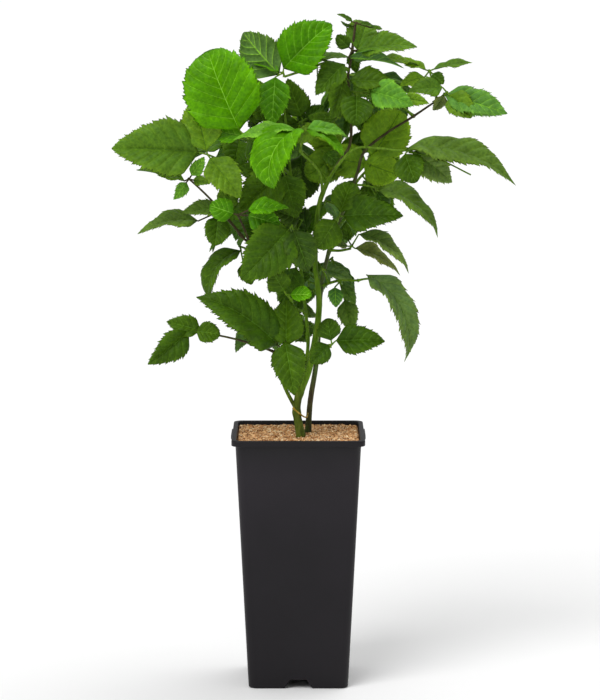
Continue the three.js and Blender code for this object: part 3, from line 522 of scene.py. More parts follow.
# Finer growth inside the crown: leaves on twigs of their own, which show between the leaves before
# them. Each patch lies between two places along X and two heights as seen from the front, and between
# two depths. It has a number of leaves and their tones.
Patch = namedtuple("Patch", "across heights depths leaves tones")
PATCHES = [
    Patch((-63, -14), (452, 603), (6, 55), 14, "dark mid deep"),
    Patch((-14, 47), (547, 585), (4, 60), 10, "dark mid olive"),
    Patch((-37, 8), (457, 529), (0, 55), 12, "deep deep dark"),
    Patch((20, 54), (523, 573), (14, 50), 7, "olive dark"),
    Patch((-41, 20), (420, 488), (12, 60), 12, "dark deep mid"),
    Patch((-23, 20), (345, 430), (8, 45), 12, "dark deep"),
    Patch((47, 104), (518, 596), (26, 60), 9, "olive mid dark"),
    Patch((18, 47), (598, 630), (8, 40), 5, "dark mid"),
    Patch((47, 88), (594, 614), (8, 40), 6, "mid dark fresh"),
    Patch((-1, 22), (376, 410), (12, 40), 3, "dark deep"),
    Patch((4, 25), (391, 447), (14, 40), 4, "dark deep"),
    Patch((36, 66), (620, 646), (5, 30), 4, "dark deep"),
    Patch((42, 98), (478, 518), (20, 55), 9, "dark mid"),
]
FINE_LENGTH = (22, 38)
FINE_WIDTH = (0.6, 0.76)
FINE_TOWARD = (-35, 35)
FINE_ROLL = (-45, 45)
FINE_ARCH = (10, 40)
FINE_PETIOLE = 60
FINE_GAP = 5
FINE_LIMB_GAP = 2
PATCH_MARGIN = 1
FINE_SEED = 17
BARE_STEM_STEPS = 4

fine_leaves = []


def seen_within(points, patch, margin=0.0):
    """Whether each point, as seen from the front, lies in the patch."""
    share = -EYE[1] / (points[:, 1] - EYE[1])
    x = EYE[0] + (points[:, 0] - EYE[0]) * share
    z = EYE[2] + (points[:, 2] - EYE[2]) * share
    (left, right), (low, high) = patch.across, patch.heights
    return ((x > left + margin) & (x < right - margin) & (z > low + margin) & (z < high - margin))


def grow_fine(patch, chance):
    stems = np.vstack([mass.stem[BARE_STEM_STEPS:] for mass in masses.values()])
    for _ in range(patch.leaves):
        for _ in range(TRIES):
            depth = chance.uniform(*patch.depths)
            share = (depth - EYE[1]) / -EYE[1]
            seen = vec(chance.uniform(*patch.across), 0, chance.uniform(*patch.heights))
            joint = EYE + (seen - EYE) * share
            length = chance.uniform(*FINE_LENGTH)
            leaflet = front_leaflet(
                joint, chance.choice(patch.tones.split()), chance.uniform(0, 360),
                chance.uniform(*FINE_TOWARD), length, length * chance.uniform(*FINE_WIDTH),
                chance.uniform(*FINE_ROLL), chance.uniform(*FINE_ARCH))
            start = stems[np.linalg.norm(stems - joint, axis=1).argmin()]
            if fits(leaflet, start, patch):
                take(samples_of(leaflet), "fine", True)
                fine_leaves.append(Item(start=start, joint=joint, leaflets=[leaflet]))
                break


def fits(leaflet, start, patch):
    """Whether a fine leaf stays in its patch, near its stem and clear of limbs and other leaves."""
    samples = samples_of(leaflet)
    route = petiole_route(start, leaflet.joint, 6)
    if np.linalg.norm(leaflet.joint - start) > FINE_PETIOLE:
        return False
    if not seen_within(samples, patch, PATCH_MARGIN).all():
        return False
    if not np.any([seen_within(route, other) for other in PATCHES], axis=0).all():
        return False
    if touches_limb(samples, FINE_LIMB_GAP):
        return False
    blades = np.vstack([points for points, _, is_blade in taken if is_blade])
    return np.linalg.norm(samples[:, None] - blades[None], axis=2).min() > FINE_GAP


def grow_skeleton():
    for limb in LIMBS:
        add_limb(**limb)
    for mass in MASSES:
        add_mass(*mass)
    for spray in SPRAYS:
        add_spray(*spray)
    chance = random.Random(FINE_SEED)
    for patch in PATCHES:
        grow_fine(patch, chance)


# Meshes: arrays of points, faces and material slots gathered into one piece
def put_in_scene(name, data):
    placed = bpy.data.objects.new(name, data)
    bpy.context.scene.collection.objects.link(placed)
    return placed


class Gather:
    def __init__(self):
        self.points = []
        self.faces = []
        self.slots = []
        self.ages_and_shades = []
        self.count = 0

    def add(self, points, faces, slots, ages_and_shades=None):
        """faces hold 3 or 4 corners a row, -1 where a triangle has no fourth."""
        self.points.append(points)
        if ages_and_shades is not None:
            self.ages_and_shades.append(ages_and_shades)
        self.faces.append(np.where(faces < 0, -1, faces + self.count))
        self.slots.append(np.broadcast_to(slots, (len(faces),)))
        self.count += len(points)

    def build(self, name, materials, smooth=True):
        points = np.vstack(self.points) * MM
        faces = np.vstack(self.faces)
        sizes = np.where(faces[:, 3] < 0, 3, 4)
        corners = faces[faces >= 0]
        mesh = bpy.data.meshes.new(name)
        mesh.vertices.add(len(points))
        mesh.vertices.foreach_set("co", points.ravel())
        mesh.loops.add(len(corners))
        mesh.loops.foreach_set("vertex_index", corners)
        mesh.polygons.add(len(faces))
        mesh.polygons.foreach_set("loop_start", np.concatenate([[0], np.cumsum(sizes)[:-1]]))
        mesh.polygons.foreach_set("material_index", np.concatenate(self.slots))
        mesh.polygons.foreach_set("use_smooth", np.full(len(faces), smooth))
        mesh.update(calc_edges=True)
        mesh.validate()
        for material in materials:
            mesh.materials.append(material)
        if self.ages_and_shades:
            mesh.attributes.new("age", "FLOAT", "POINT").data.foreach_set("value", np.concatenate(self.ages_and_shades))
        return put_in_scene(name, mesh)


def grid_quads(index):
    """Quads between the points of a grid, which are given by their numbers."""
    return np.stack([index[:-1, :-1], index[1:, :-1], index[1:, 1:], index[:-1, 1:]], 2).reshape(-1, 4)


def fan(centre, rim):
    """Triangles from one point to each stretch of a rim."""
    count = len(rim) - 1
    return np.stack([np.full(count, centre), rim[:-1], rim[1:], np.full(count, -1)], 1)


def turned_over(faces):
    return np.where(faces[:, 3:] < 0, faces[:, [0, 2, 1, 3]], faces[:, [0, 3, 2, 1]])


def ring_faces(rows, columns):
    """Quads of a closed tube of rows by columns, and fans onto a point before and after it."""
    index = np.arange(rows * columns).reshape(rows, columns)
    index = np.hstack([index, index[:, :1]])
    first = rows * columns
    side_and_start = np.vstack([grid_quads(index), fan(first, index[0])])
    return np.vstack([turned_over(side_and_start), fan(first + 1, index[-1])])


def tube_rings(route, radii, sides, relief=None):
    """Rings round a route. relief gives the share by which each point stands out."""
    along = np.gradient(route, axis=0)
    along /= np.linalg.norm(along, axis=1)[:, None]
    side = unit(np.cross(along[0], FRONT) if abs(along[0] @ FRONT) < 0.9 else np.cross(along[0], UP))
    turn = np.arange(sides) / sides * 2 * math.pi
    rings = []
    for k, point in enumerate(route):
        side = unit(side - along[k] * side.dot(along[k]))
        other = np.cross(along[k], side)
        swell = relief(k, turn) if relief else 1.0
        spoke = np.cos(turn)[:, None] * side + np.sin(turn)[:, None] * other
        rings.append(point + spoke * (radii[k] * swell * np.ones(sides))[:, None])
    return np.array(rings)


def add_tube(gather, route, radii, sides, slot, relief=None):
    rings = tube_rings(route, radii, sides, relief)
    points = np.vstack([rings.reshape(-1, 3), route[:1], route[-1:]])
    gather.add(points, ring_faces(len(route), sides), slot)


# Leaf blades
VEIN_WIDTH = 0.4
MIDRIB_WIDTH = 0.75
VEIN_SLOPE = 0.82
VEIN_TAPER = 0.7
BLADE_THICK = 0.34
MIDRIB_DEPTH = 0.9
MIDRIB_TAPER = 0.75
ACROSS = [0.1, 0.26, 0.44, 0.62, 0.79, 0.93, 1.0]
LAST_SHARE = 0.9995

# Side veins: one more for so many mm of length, between two limits, over a span of the length
VEIN_EVERY = 24
VEINS_BEFORE = 4
VEIN_LIMITS = (5, 8)
VEIN_START = 0.03
VEIN_SPAN = 0.93

# Teeth: how far they stand out, and lean to the tip, on the outer part of a blade
TOOTH = 0.045
TOOTH_LEAST = 1.3
TOOTH_MIDDLE = 0.42
TOOTH_LEAN = 0.6
TOOTH_UNEVEN = 0.5
MARGIN = 0.2

# The margin between one vein and the next: share of the way, and how far a tooth stands out there
TEETH = [(0.1, 0.05), (0.27, 0.55), (0.35, 0.2), (0.54, 0.6), (0.62, 0.22), (0.82, 0.66), (0.89, 0.6)]
TOOTH_BEFORE_VEIN = 0.94
TOOTH_AFTER_VEIN = 1.0

# Relief of a blade, as shares of its length or half width; waves are counted from base to tip
PLEAT = 0.03
PLEAT_RANGE = (0.6, 1.2)
PLEAT_ROUND = 0.7
BULGE = (0.04, 0.2)
WAVE = 0.04
WAVES = 1.4
SHORT_WAVE = 0.012
SHORT_WAVES = 3.7
TWIST = 0.5
TWIST_CENTRE = 0.4
CURL = 0.08
CURL_START = 0.6

# Age and painted shade, which drive a blade's change of colour: its range from blade to blade, its growth
# from base to tip and at the margin, its fall between two veins, which paints the shade of the pleats, and
# its values at base and tip
AGE = (0.3, 0.7)
AGE_ALONG = (0, 0.3)
AGE_MARGIN = 0.3
AGE_MARGIN_POWER = 6
PAINTED_PLEAT_SHADE = 0.28
PAINTED_PLEAT_SHADE_LEVEL = 0.35
AGE_ENDS = [0.4, 0.6]
BLADE_SEED = 7


def blade_rows(length):
    """Rows of a blade that follow its side veins: share of the length, which side of a vein the row
    runs on, place between two veins, and how far the tooth at its end stands out."""
    veins = int(np.clip(round(VEINS_BEFORE + length / VEIN_EVERY), *VEIN_LIMITS))
    pitch = VEIN_SPAN / veins
    rows = []
    for k in range(veins):
        start = VEIN_START + k * pitch
        if k > 0:
            rows.append((start, -1, 0.0, TOOTH_BEFORE_VEIN))
            rows.append((start, 1, 0.0, TOOTH_AFTER_VEIN))
        for share, reach in TEETH:
            rows.append((start + share * pitch, 0, share, reach))
    return np.array(rows)


def blade_faces(rows, columns):
    """Faces of a closed blade: upper sheet, lower sheet, and fans at its base and tip."""
    upper = np.arange(rows * columns).reshape(rows, columns)
    lower = upper.copy()
    lower[:, 1:-1] = rows * columns + np.arange(rows * (columns - 2)).reshape(rows, columns - 2)
    base = rows * columns + rows * (columns - 2)
    over, under = (
        np.vstack([grid_quads(sheet), fan(base, sheet[0]), turned_over(fan(base + 1, sheet[-1]))])
        for sheet in (upper, lower))
    return np.vstack([over, turned_over(under)])


def blade_slots(vein_side, columns, tone, vein, under):
    """Material slots of a blade's faces: veins and midrib, and a tone above and below."""
    between_rows = (vein_side[:-1, 0] < 0) & (vein_side[1:, 0] > 0)
    centre = columns // 2
    in_midrib = np.zeros(columns - 1, bool)
    in_midrib[centre - 1:centre + 1] = True
    is_vein = (between_rows[:, None] | in_midrib[None, :]).ravel()
    fans = 2 * (columns - 1)
    return np.concatenate([np.append(np.where(is_vein, vein, flat), np.full(fans, flat))
                           for flat in (tone, under)])


def unit_rows(vectors):
    return vectors / np.linalg.norm(vectors, axis=-1, keepdims=True)


def add_blade(gather, leaflet, tone_slot, vein_slot, under_slot, rng):
    """A toothed, veined and pleated blade. a is the distance from the midrib, 1 at the margin."""
    length, width = leaflet.length, leaflet.width
    table = blade_rows(length)
    q, vein_side, between_veins, tooth = (table[:, k][:, None] for k in range(4))
    midrib = MIDRIB_WIDTH / width
    half_row = np.array([midrib] + ACROSS)
    v = np.concatenate([-half_row[::-1], [0.0], half_row])[None, :]
    a = np.abs(v)

    # Rows lean to the tip along the side veins, and teeth stand out from the margin
    half_vein = VEIN_WIDTH / 2 / length
    slope = VEIN_SLOPE * width / 2 / length
    w = blade_width(leaflet, q)
    t = np.clip(q + vein_side * half_vein * (1 - VEIN_TAPER * a) + slope * a * w, 0.0, LAST_SHARE)
    edge = np.clip((a - (1 - MARGIN)) / MARGIN, 0, 1) ** 2
    both_sides = [0] * len(half_row) + [0] + [1] * len(half_row)
    uneven = 1 - TOOTH_UNEVEN / 2 + TOOTH_UNEVEN * rng.random((len(table), 2))[:, both_sides]
    deepest = TOOTH_LEAST + TOOTH * length
    depth = deepest * np.sqrt(np.clip(w, 0, 1)) * (tooth * uneven - TOOTH_MIDDLE) * edge
    t = np.clip(t + TOOTH_LEAN * depth / length, 0, LAST_SHARE)
    t, v = np.broadcast_arrays(t, v)
    surface = blade_point(leaflet, t, v)
    normal = blade_normal(leaflet, t)
    left = np.cross(leaflet.up, leaflet.along)
    half = (width / 2) * blade_width(leaflet, t)

    # Relief: pleats between the veins, a bulge, waves, a twist and a curled tip
    swell = np.sin(math.pi * between_veins) ** PLEAT_ROUND * np.sqrt(np.clip(a * (1 - a), 0, 1)) * 2
    full = np.clip(half / (width / 2), 0, 1)
    pleat = PLEAT * rng.uniform(*PLEAT_RANGE) * length * (swell - 0.5) * full
    bulge = rng.uniform(*BULGE) * half * (a - a ** 2) * 4
    phase = rng.random(4) * 2 * math.pi
    ripple = np.sin(2 * math.pi * WAVES * t + phase[0] + np.sign(v) * phase[1]) * a ** 2
    ripple_fine = np.sin(2 * math.pi * SHORT_WAVES * t + phase[2] + np.sign(v) * phase[3]) * a ** 2
    twist = half * v * rng.uniform(-TWIST, TWIST) * (t - TWIST_CENTRE)
    curl = CURL * rng.random() * length * np.clip((t - CURL_START) / (1 - CURL_START), 0, 1) ** 2
    height = pleat + bulge + (WAVE * ripple + SHORT_WAVE * ripple_fine) * length * full + twist - curl
    surface = surface + height[..., None] * normal + (np.sign(v) * depth)[..., None] * left

    # The lower sheet, with the midrib standing out under it, and the two ends
    rib = MIDRIB_DEPTH * (1 - MIDRIB_TAPER * t) * (a < midrib * 0.5)
    thick = BLADE_THICK * np.sqrt(np.clip(1 - a, 0, 1)) + rib
    outward = unit_rows(np.cross(np.gradient(surface, axis=0), np.gradient(surface, axis=1)) + 1e-6 * normal)
    lower = surface - thick[..., None] * outward
    ends = blade_point(leaflet, np.array([0.0, 1.0]), np.zeros(2)) - [[0], [curl.max()]] * normal[-1, -1]
    points = np.vstack([surface.reshape(-1, 3), lower[:, 1:-1].reshape(-1, 3), ends])
    age = rng.uniform(*AGE) + rng.uniform(*AGE_ALONG) * (t - 0.5) + AGE_MARGIN * a ** AGE_MARGIN_POWER
    # Painted shade: the colour darkens where a pleat swells between two veins
    age = age - PAINTED_PLEAT_SHADE * (swell - PAINTED_PLEAT_SHADE_LEVEL)
    ages_and_shades = np.concatenate([age.ravel(), age[:, 1:-1].ravel(), AGE_ENDS])
    rows, columns = t.shape
    slots = blade_slots(vein_side, columns, tone_slot, vein_slot, under_slot)
    gather.add(points, blade_faces(rows, columns), slots, ages_and_shades)


# Materials
def node_material(name):
    material = bpy.data.materials.new(name)
    material.use_nodes = True
    tree = material.node_tree
    return material, tree, tree.nodes["Principled BSDF"]


def put(tree, node, **inputs):
    """Inputs of a node, each set to a value or linked from another node's output."""
    for name, value in inputs.items():
        socket = node.inputs[name.replace("_", " ")]
        if isinstance(value, bpy.types.NodeSocket):
            tree.links.new(value, socket)
        else:
            socket.default_value = value
    return node


def add_node(tree, kind, **inputs):
    return put(tree, tree.nodes.new("ShaderNode" + kind), **inputs)


def linear(colour):
    """An sRGB colour of 0 to 255 as linear light."""
    shares = [c / 255 for c in colour]
    return np.array([s / 12.92 if s <= 0.04045 else ((s + 0.055) / 1.055) ** 2.4 for s in shares])


def own_place(tree):
    """The place in the object's own space, in metres."""
    return add_node(tree, "TexCoord").outputs["Object"]


def height_at(tree):
    return add_node(tree, "SeparateXYZ", Vector=own_place(tree)).outputs["Z"]


def noise_at(tree, scale, detail, stretch=(1, 1, 1)):
    """Noise whose scale is in waves a metre."""
    place = add_node(tree, "Mapping", Vector=own_place(tree), Scale=stretch).outputs["Vector"]
    return add_node(tree, "TexNoise", Vector=place, Scale=scale, Detail=detail).outputs["Fac"]


def net_at(tree, scale):
    """Distance to the nearest line of an irregular net."""
    texture = tree.nodes.new("ShaderNodeTexVoronoi")
    texture.feature = "DISTANCE_TO_EDGE"
    return put(tree, texture, Vector=own_place(tree), Scale=scale).outputs["Distance"]


def ramp(tree, value, stops):
    node = add_node(tree, "ValToRGB", Fac=value)
    elements = node.color_ramp.elements
    while len(elements) < len(stops):
        elements.new(0.5)
    for element, (place, colour) in zip(elements, stops, strict=True):
        element.position = place
        element.color = (*colour, 1)
    return node.outputs["Color"]


def shades(tree, value, colour, stops):
    """A ramp of one colour, darker and lighter."""
    return ramp(tree, value, [(place, linear(colour) * factor) for place, factor in stops])


def times(tree, colour, *others):
    """Colours multiplied with each other."""
    for other in others:
        multiply = tree.nodes.new("ShaderNodeMix")
        multiply.data_type = "RGBA"
        multiply.blend_type = "MULTIPLY"
        colour = put(tree, multiply, Factor=1.0, A=colour, B=other).outputs["Result"]
    return colour


def spread(tree, value, low, high):
    return add_node(tree, "MapRange", Value=value, To_Min=low, To_Max=high).outputs["Result"]


def bump(tree, value, distance, strength):
    return add_node(tree, "Bump", Height=value, Distance=distance, Strength=strength).outputs["Normal"]


# Leaves: stops of their ramps, scales of their noises in waves a metre, depth in metres and strength
# of their bump, roughness and shine
LEAF_BLOTCHES = [(0.32, 0.8), (0.5, 1), (0.68, 1.22)]
LEAF_FLECKS = [(0.3, (0.82, 0.84, 0.8)), (0.5, (1, 1, 1)), (0.7, (1.2, 1.16, 1.1))]
LEAF_LINES = [(0.0, (1.22, 1.16, 1.1)), (0.12, (1.02, 1.02, 1.02)), (0.5, (0.88, 0.9, 0.88))]
LEAF_AGES_AND_SHADES = [(0.1, (0.6, 0.7, 1.0)), (0.5, (1, 1, 1)), (1.0, (1.5, 1.36, 1.1))]
BLOTCH_SCALE = 60
FLECK_SCALE = 300
NET_SCALE = 260
NET_BUMP = (0.0005, 0.8)
GRAIN_SCALE = 700
LEAF_ROUGH = 0.42
VEIN_ROUGH = 0.5
UNDER_ROUGH = 0.6
ROUGH_BELOW = 0.08
ROUGH_ABOVE = 0.12
LEAF_SHINE = 0.08


def leaf_material(name, colour, rough=LEAF_ROUGH):
    material, tree, shader = node_material(name)
    tint = shades(tree, noise_at(tree, BLOTCH_SCALE, 6), colour, LEAF_BLOTCHES)
    flecks = ramp(tree, noise_at(tree, FLECK_SCALE, 3), LEAF_FLECKS)
    net = net_at(tree, NET_SCALE)
    lines = ramp(tree, net, LEAF_LINES)
    # A blade's age, with painted shade between its veins, sets how its colour changes
    age = tree.nodes.new("ShaderNodeAttribute")
    age.attribute_name = "age"
    ages_and_shades = ramp(tree, age.outputs["Fac"], LEAF_AGES_AND_SHADES)
    grain = noise_at(tree, GRAIN_SCALE, 3)
    put(tree, shader, Base_Color=times(tree, tint, flecks, lines, ages_and_shades), Specular_IOR_Level=LEAF_SHINE,
        Roughness=spread(tree, grain, rough - ROUGH_BELOW, rough + ROUGH_ABOVE),
        Normal=bump(tree, net, *NET_BUMP))
    return material


# Tones of the leaves' upper faces, which partly paint light and shade: dark and deep paint shade on leaves
# inside and low in the crown, olive and spring are lighter to paint light on leaflets that the lamps leave
# in shade, and cool and grey paint a bluish sheen. Pale ones have pale veins.
TONES = {
    "lime": (78, 138, 0),
    "bright": (80, 142, 0),
    "fresh": (80, 138, 8),
    "mid": (90, 127, 28),
    "cool": (84, 132, 50),
    "spring": (102, 158, 44),
    "grey": (95, 123, 55),
    "slate": (80, 111, 38),
    "dull": (110, 124, 62),
    "olive": (112, 152, 30),
    "dark": (62, 94, 12),
    "deep": (56, 82, 20),
    "back": (72, 110, 16),
}
PALE_TONES = ("lime", "bright", "fresh", "cool", "spring")
PALE_VEIN = (128, 186, 60)
DARK_VEIN = (78, 116, 36)
UNDERSIDE = (92, 130, 60)


def leaf_materials():
    """All materials of the blades, and the slot of each by its name."""
    materials = [leaf_material("leaf_" + tone, colour) for tone, colour in TONES.items()]
    materials.append(leaf_material("vein_pale", PALE_VEIN, VEIN_ROUGH))
    materials.append(leaf_material("vein_dark", DARK_VEIN, VEIN_ROUGH))
    materials.append(leaf_material("leaf_underside", UNDERSIDE, UNDER_ROUGH))
    slots = {name: k for k, name in enumerate([*TONES, "vein_pale", "vein_dark", "under"])}
    return slots, materials


# Barks: colours of the hollows, the ridges and the patches, and factors at heights in metres, which follow
# each cane's own change of colour and partly paint light: they lighten the canes where the crown shades them
BARKS = {
    "green_bark": ((62, 78, 8), (88, 112, 20), (106, 116, 36), [
        (0.255, (0.85, 0.72, 1)), (0.29, (0.95, 0.85, 1)), (0.31, (1.5, 1.85, 1.3)), (0.45, (1.1, 1.4, 1)),
        (0.6, (1.35, 1.6, 2))]),
    "dark_bark": ((48, 44, 26), (64, 70, 34), (76, 92, 38), [
        (0.255, (0.7, 0.9, 0.6)), (0.275, (1.4, 1.3, 1.3)), (0.29, (1.9, 1.4, 2)), (0.3, (2, 1.7, 2.1)),
        (0.315, (1.7, 2.2, 2)), (0.5, (1.5, 1.7, 1.5)), (0.56, (1.1, 0.8, 1))]),
    "dark_twig": ((56, 38, 38), (74, 68, 38), (84, 92, 44), None),
    "withered": ((128, 108, 30), (176, 146, 50), (200, 172, 92), None),
}
BARK_STOPS = (0.3, 0.55, 0.7)
STREAK_SCALE = 60
STREAK_STRETCH = (6, 6, 1)
BARK_STRETCH = (3, 3, 1)
BARK_ROUGH = (0.45, 0.7)
BARK_BUMP = (0.0004, 0.6)
BARK_SHINE = 0.15


def bark_material(name):
    *colours, by_height = BARKS[name]
    material, tree, shader = node_material(name)
    stops = [(place, linear(colour)) for place, colour in zip(BARK_STOPS, colours, strict=True)]
    tint = ramp(tree, noise_at(tree, STREAK_SCALE, 6, STREAK_STRETCH), stops)
    if by_height:
        # Painted light: factors by height lighten the cane where the crown shades it, besides its own colour
        tint = times(tree, tint, ramp(tree, height_at(tree), by_height))
    grain = noise_at(tree, GRAIN_SCALE, 4, BARK_STRETCH)
    put(tree, shader, Base_Color=tint, Roughness=spread(tree, grain, *BARK_ROUGH),
        Normal=bump(tree, grain, *BARK_BUMP), Specular_IOR_Level=BARK_SHINE)
    return material


# Black plastic, with factors at heights in metres: painted shade that darkens its foot and the stretch under
# its lip, and a darker lip
PLASTIC_CLOUDS = [(0.3, (24, 21, 26)), (0.7, (33, 29, 35))]
PLASTIC_PAINTED_SHADE = [(0.0, (0.42, 0.4, 0.42)), (0.12, (0.7, 0.68, 0.7)), (0.22, (1, 1, 1)),
                (0.25, (0.56, 0.58, 0.54))]
CLOUD_SCALE = 9
PLASTIC_GRAIN_SCALE = 1600
PLASTIC_ROUGH = (0.42, 0.56)
PLASTIC_BUMP = (0.00008, 0.5)
PLASTIC_SHINE = 0.25


def plastic_material():
    material, tree, shader = node_material("black_plastic")
    clouds = [(place, linear(colour)) for place, colour in PLASTIC_CLOUDS]
    tint = ramp(tree, noise_at(tree, CLOUD_SCALE, 3), clouds)
    # Painted shade by height: darker towards the foot and under the lip
    painted_shade = ramp(tree, height_at(tree), PLASTIC_PAINTED_SHADE)
    grain = noise_at(tree, PLASTIC_GRAIN_SCALE, 3)
    put(tree, shader, Base_Color=times(tree, tint, painted_shade), Roughness=spread(tree, grain, *PLASTIC_ROUGH),
        Normal=bump(tree, grain, *PLASTIC_BUMP), Specular_IOR_Level=PLASTIC_SHINE)
    return material


# Bark flakes and compost
CHIP_FIBRES = [(0.3, 0.62), (0.55, 1), (0.75, 1.2)]
FIBRE_SCALE = 800
FIBRE_ROUGH = (0.78, 0.95)
FIBRE_BUMP = (0.0004, 1.0)
COMPOST = (58, 42, 30)


def chip_material(name, colour):
    material, tree, shader = node_material(name)
    fibres = noise_at(tree, FIBRE_SCALE, 5)
    put(tree, shader, Base_Color=shades(tree, fibres, colour, CHIP_FIBRES),
        Roughness=spread(tree, fibres, *FIBRE_ROUGH), Normal=bump(tree, fibres, *FIBRE_BUMP))
    return material


# Foliage: a group of masses becomes one piece of blades, and so do the small leaves inside the crown,
# below and above a height. All twigs are one piece.
INNER_SPLIT = 500


def group_of(name):
    stem = name.removeprefix("leaf_mass_")
    if stem.startswith("back"):
        return "leaves_back"
    if stem in ("top", "upper_left", "upper_middle", "round", "front"):
        return "leaves_top"
    if "right" in stem:
        return "leaves_right"
    return "leaves_left"


def make_leaves():
    slots, materials = leaf_materials()
    rng = np.random.default_rng(BLADE_SEED)
    gathers = {}
    members = {}
    for mass in masses.values():
        group = group_of(mass.name)
        gather = gathers.setdefault(group, Gather())
        members.setdefault(group, []).append(mass.name)
        for leaf in mass.leaves:
            for leaflet in leaf.leaflets:
                vein = "vein_pale" if leaflet.tone in PALE_TONES else "vein_dark"
                add_blade(gather, leaflet, slots[leaflet.tone], slots[vein], slots["under"], rng)
    for leaf in fine_leaves:
        group = "leaves_inner_low" if leaf.joint[2] < INNER_SPLIT else "leaves_inner_high"
        gather = gathers.setdefault(group, Gather())
        for leaflet in leaf.leaflets:
            add_blade(gather, leaflet, slots[leaflet.tone], slots["vein_dark"], slots["under"], rng)
    for group, gather in gathers.items():
        piece = gather.build(group, materials)
        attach(piece, "root")
        if group in members:
            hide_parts(*members[group])


# Twigs
TWIG_FLARE = 0.9
TWIG_FLARE_FALL = 14
TWIG_SIDES = 8
TWIG_STEPS = 10
TWIG_TAPER = 0.8
PETIOLE_TAPER = 0.85
FINE_TWIG = 0.8
STALK_RADII = np.array([0.95, 0.8, 0.75, 0.45])
STALK_SIDES = 6
STALK_UNDER = 0.06
STALK_BELOW = 0.5
TWIG_BARKS = ("green_bark", "dark_twig", "withered")
DARK_TWIGS = ("leaf_mass_left", "leaf_mass_foot_left", "leaf_mass_top")

# A dead leaf stalk that has dried round the foot of the green cane
WITHERED_STALK = ((-5, -16.4, 283), (-2.4, -18.8, 280.5), (2, -19.2, 277), (6, -15, 273.5), (9, -6, 272.5),
                  (9.5, 0.2, 275))

# A stalk beside the right leaf that has lost its leaf
BARE_STALK = ((110, -38.5, 544), (140, -33, 536), (172, -33, 520.5))
LOOSE_STALK_STEPS = 24


def add_twig(gather, route, foot, tip, slot):
    share = np.linspace(0, 1, len(route))
    radii = foot + (tip - foot) * share + TWIG_FLARE * np.exp(-share * TWIG_FLARE_FALL)
    add_tube(gather, route, radii, TWIG_SIDES, slot)


def add_petiole(gather, leaf, radius, taper, slot):
    """A leaf's stalk, and its leaflets' stalks, which run on under their midribs."""
    add_twig(gather, petiole_route(leaf.start, leaf.joint, TWIG_STEPS), radius, radius * taper, slot)
    for leaflet in leaf.leaflets:
        under = blade_point(leaflet, np.array([0.0, STALK_UNDER]), np.zeros(2)) - STALK_BELOW * leaflet.up
        route = np.array([leaflet.joint, (leaflet.joint + under[0]) / 2, under[0], under[1]])
        add_tube(gather, route, STALK_RADII, STALK_SIDES, slot)


def make_twigs(barks):
    gather = Gather()
    green, dark, withered = range(len(TWIG_BARKS))
    for mass in masses.values():
        slot = dark if mass.name in DARK_TWIGS else green
        add_twig(gather, mass.stem, STEM_RADIUS, STEM_RADIUS * TWIG_TAPER, slot)
        for leaf in mass.leaves:
            add_petiole(gather, leaf, PETIOLE_RADIUS, PETIOLE_TAPER, slot)
    for leaf in fine_leaves:
        add_petiole(gather, leaf, FINE_TWIG, TWIG_TAPER, green)
    for places, slot in ((WITHERED_STALK, withered), (BARE_STALK, green)):
        route = smooth_route([vec(*p) for p in places], LOOSE_STALK_STEPS)
        add_twig(gather, route, FINE_TWIG, FINE_TWIG, slot)
    piece = gather.build("twigs", [barks[name] for name in TWIG_BARKS])
    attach(piece, "root")


# Canes
CANE_SIDES = 28
CANE_STEPS = 260
CANE_STRIDE = 4
CANE_BURIED = 3
RIDGES = 5
RIDGE_HEIGHT = 0.05
RIDGE_TURN = 9
BARK_GRAIN = 0.035
BARK_WAVES = 0.35
BARK_AROUND = 2.2
BARK_ALONG = 0.6
NODE_SWELL = 0.16
NODE_REACH = 3.5
DARK_LIMBS = ("dark_cane", "right_bough", "top_bough")


def node_heights(name):
    """Heights at which something leaves a limb."""
    boughs = [limb["height"] for limb in LIMBS if limb.get("on") == name]
    stems = [height for _, limb, height, *_ in MASSES + SPRAYS if limb == name]
    return [h for h in boughs + stems if h != "tip"]


def make_limb(limb, bark):
    grown = limbs[limb["name"]]
    route = smooth_route(list(grown.route[::CANE_STRIDE]), CANE_STEPS)
    if "on" not in limb:
        route[0][2] -= CANE_BURIED
    share = np.linspace(0, 1, len(route))
    radii = grown.radius_at(share)
    for height in node_heights(limb["name"]):
        radii = radii * (1 + NODE_SWELL * np.exp(-((route[:, 2] - height) / NODE_REACH) ** 2))

    def relief(k, turn):
        ridge = RIDGE_HEIGHT * np.cos(RIDGES * turn + share[k] * RIDGE_TURN)
        x, y, z = route[k] * BARK_WAVES
        grain = [noise.noise((x + BARK_AROUND * math.cos(a), y + BARK_AROUND * math.sin(a), z * BARK_ALONG))
                 for a in turn]
        return 1 + ridge + BARK_GRAIN * np.array(grain)
    gather = Gather()
    add_tube(gather, route, radii, CANE_SIDES, 0, relief)
    piece = gather.build("bark_" + limb["name"], [bark])
    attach(piece, "root")
    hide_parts(limb["name"])


# Pot
CORNER_STEPS = 10
ARC_STEPS = 5
WALL_RINGS = 12
WALL_START = 12
LIP_STEP = 0.5
INNER_RING = 200
SHARP_ANGLE = 35
CUT_SPARE = 1
CUT_OUTSIDE = 5
CUT_ROUND = 0.5
EAR_ROOT = 2
EAR_SLANT = 2
EAR_RAISED = 0.2
EAR_ROUND = 0.4


def rounded_square(half, corner, z):
    turn = np.concatenate([np.linspace(0, 90, CORNER_STEPS + 1) + quarter * 90 for quarter in range(4)])
    sx = np.repeat([1, -1, -1, 1], CORNER_STEPS + 1)
    sy = np.repeat([1, 1, -1, -1], CORNER_STEPS + 1)
    angle = np.radians(turn)
    x = sx * (half - corner) + corner * np.cos(angle)
    y = sy * (half - corner) + corner * np.sin(angle)
    return np.stack([x, y, np.full(len(x), float(z))], 1)


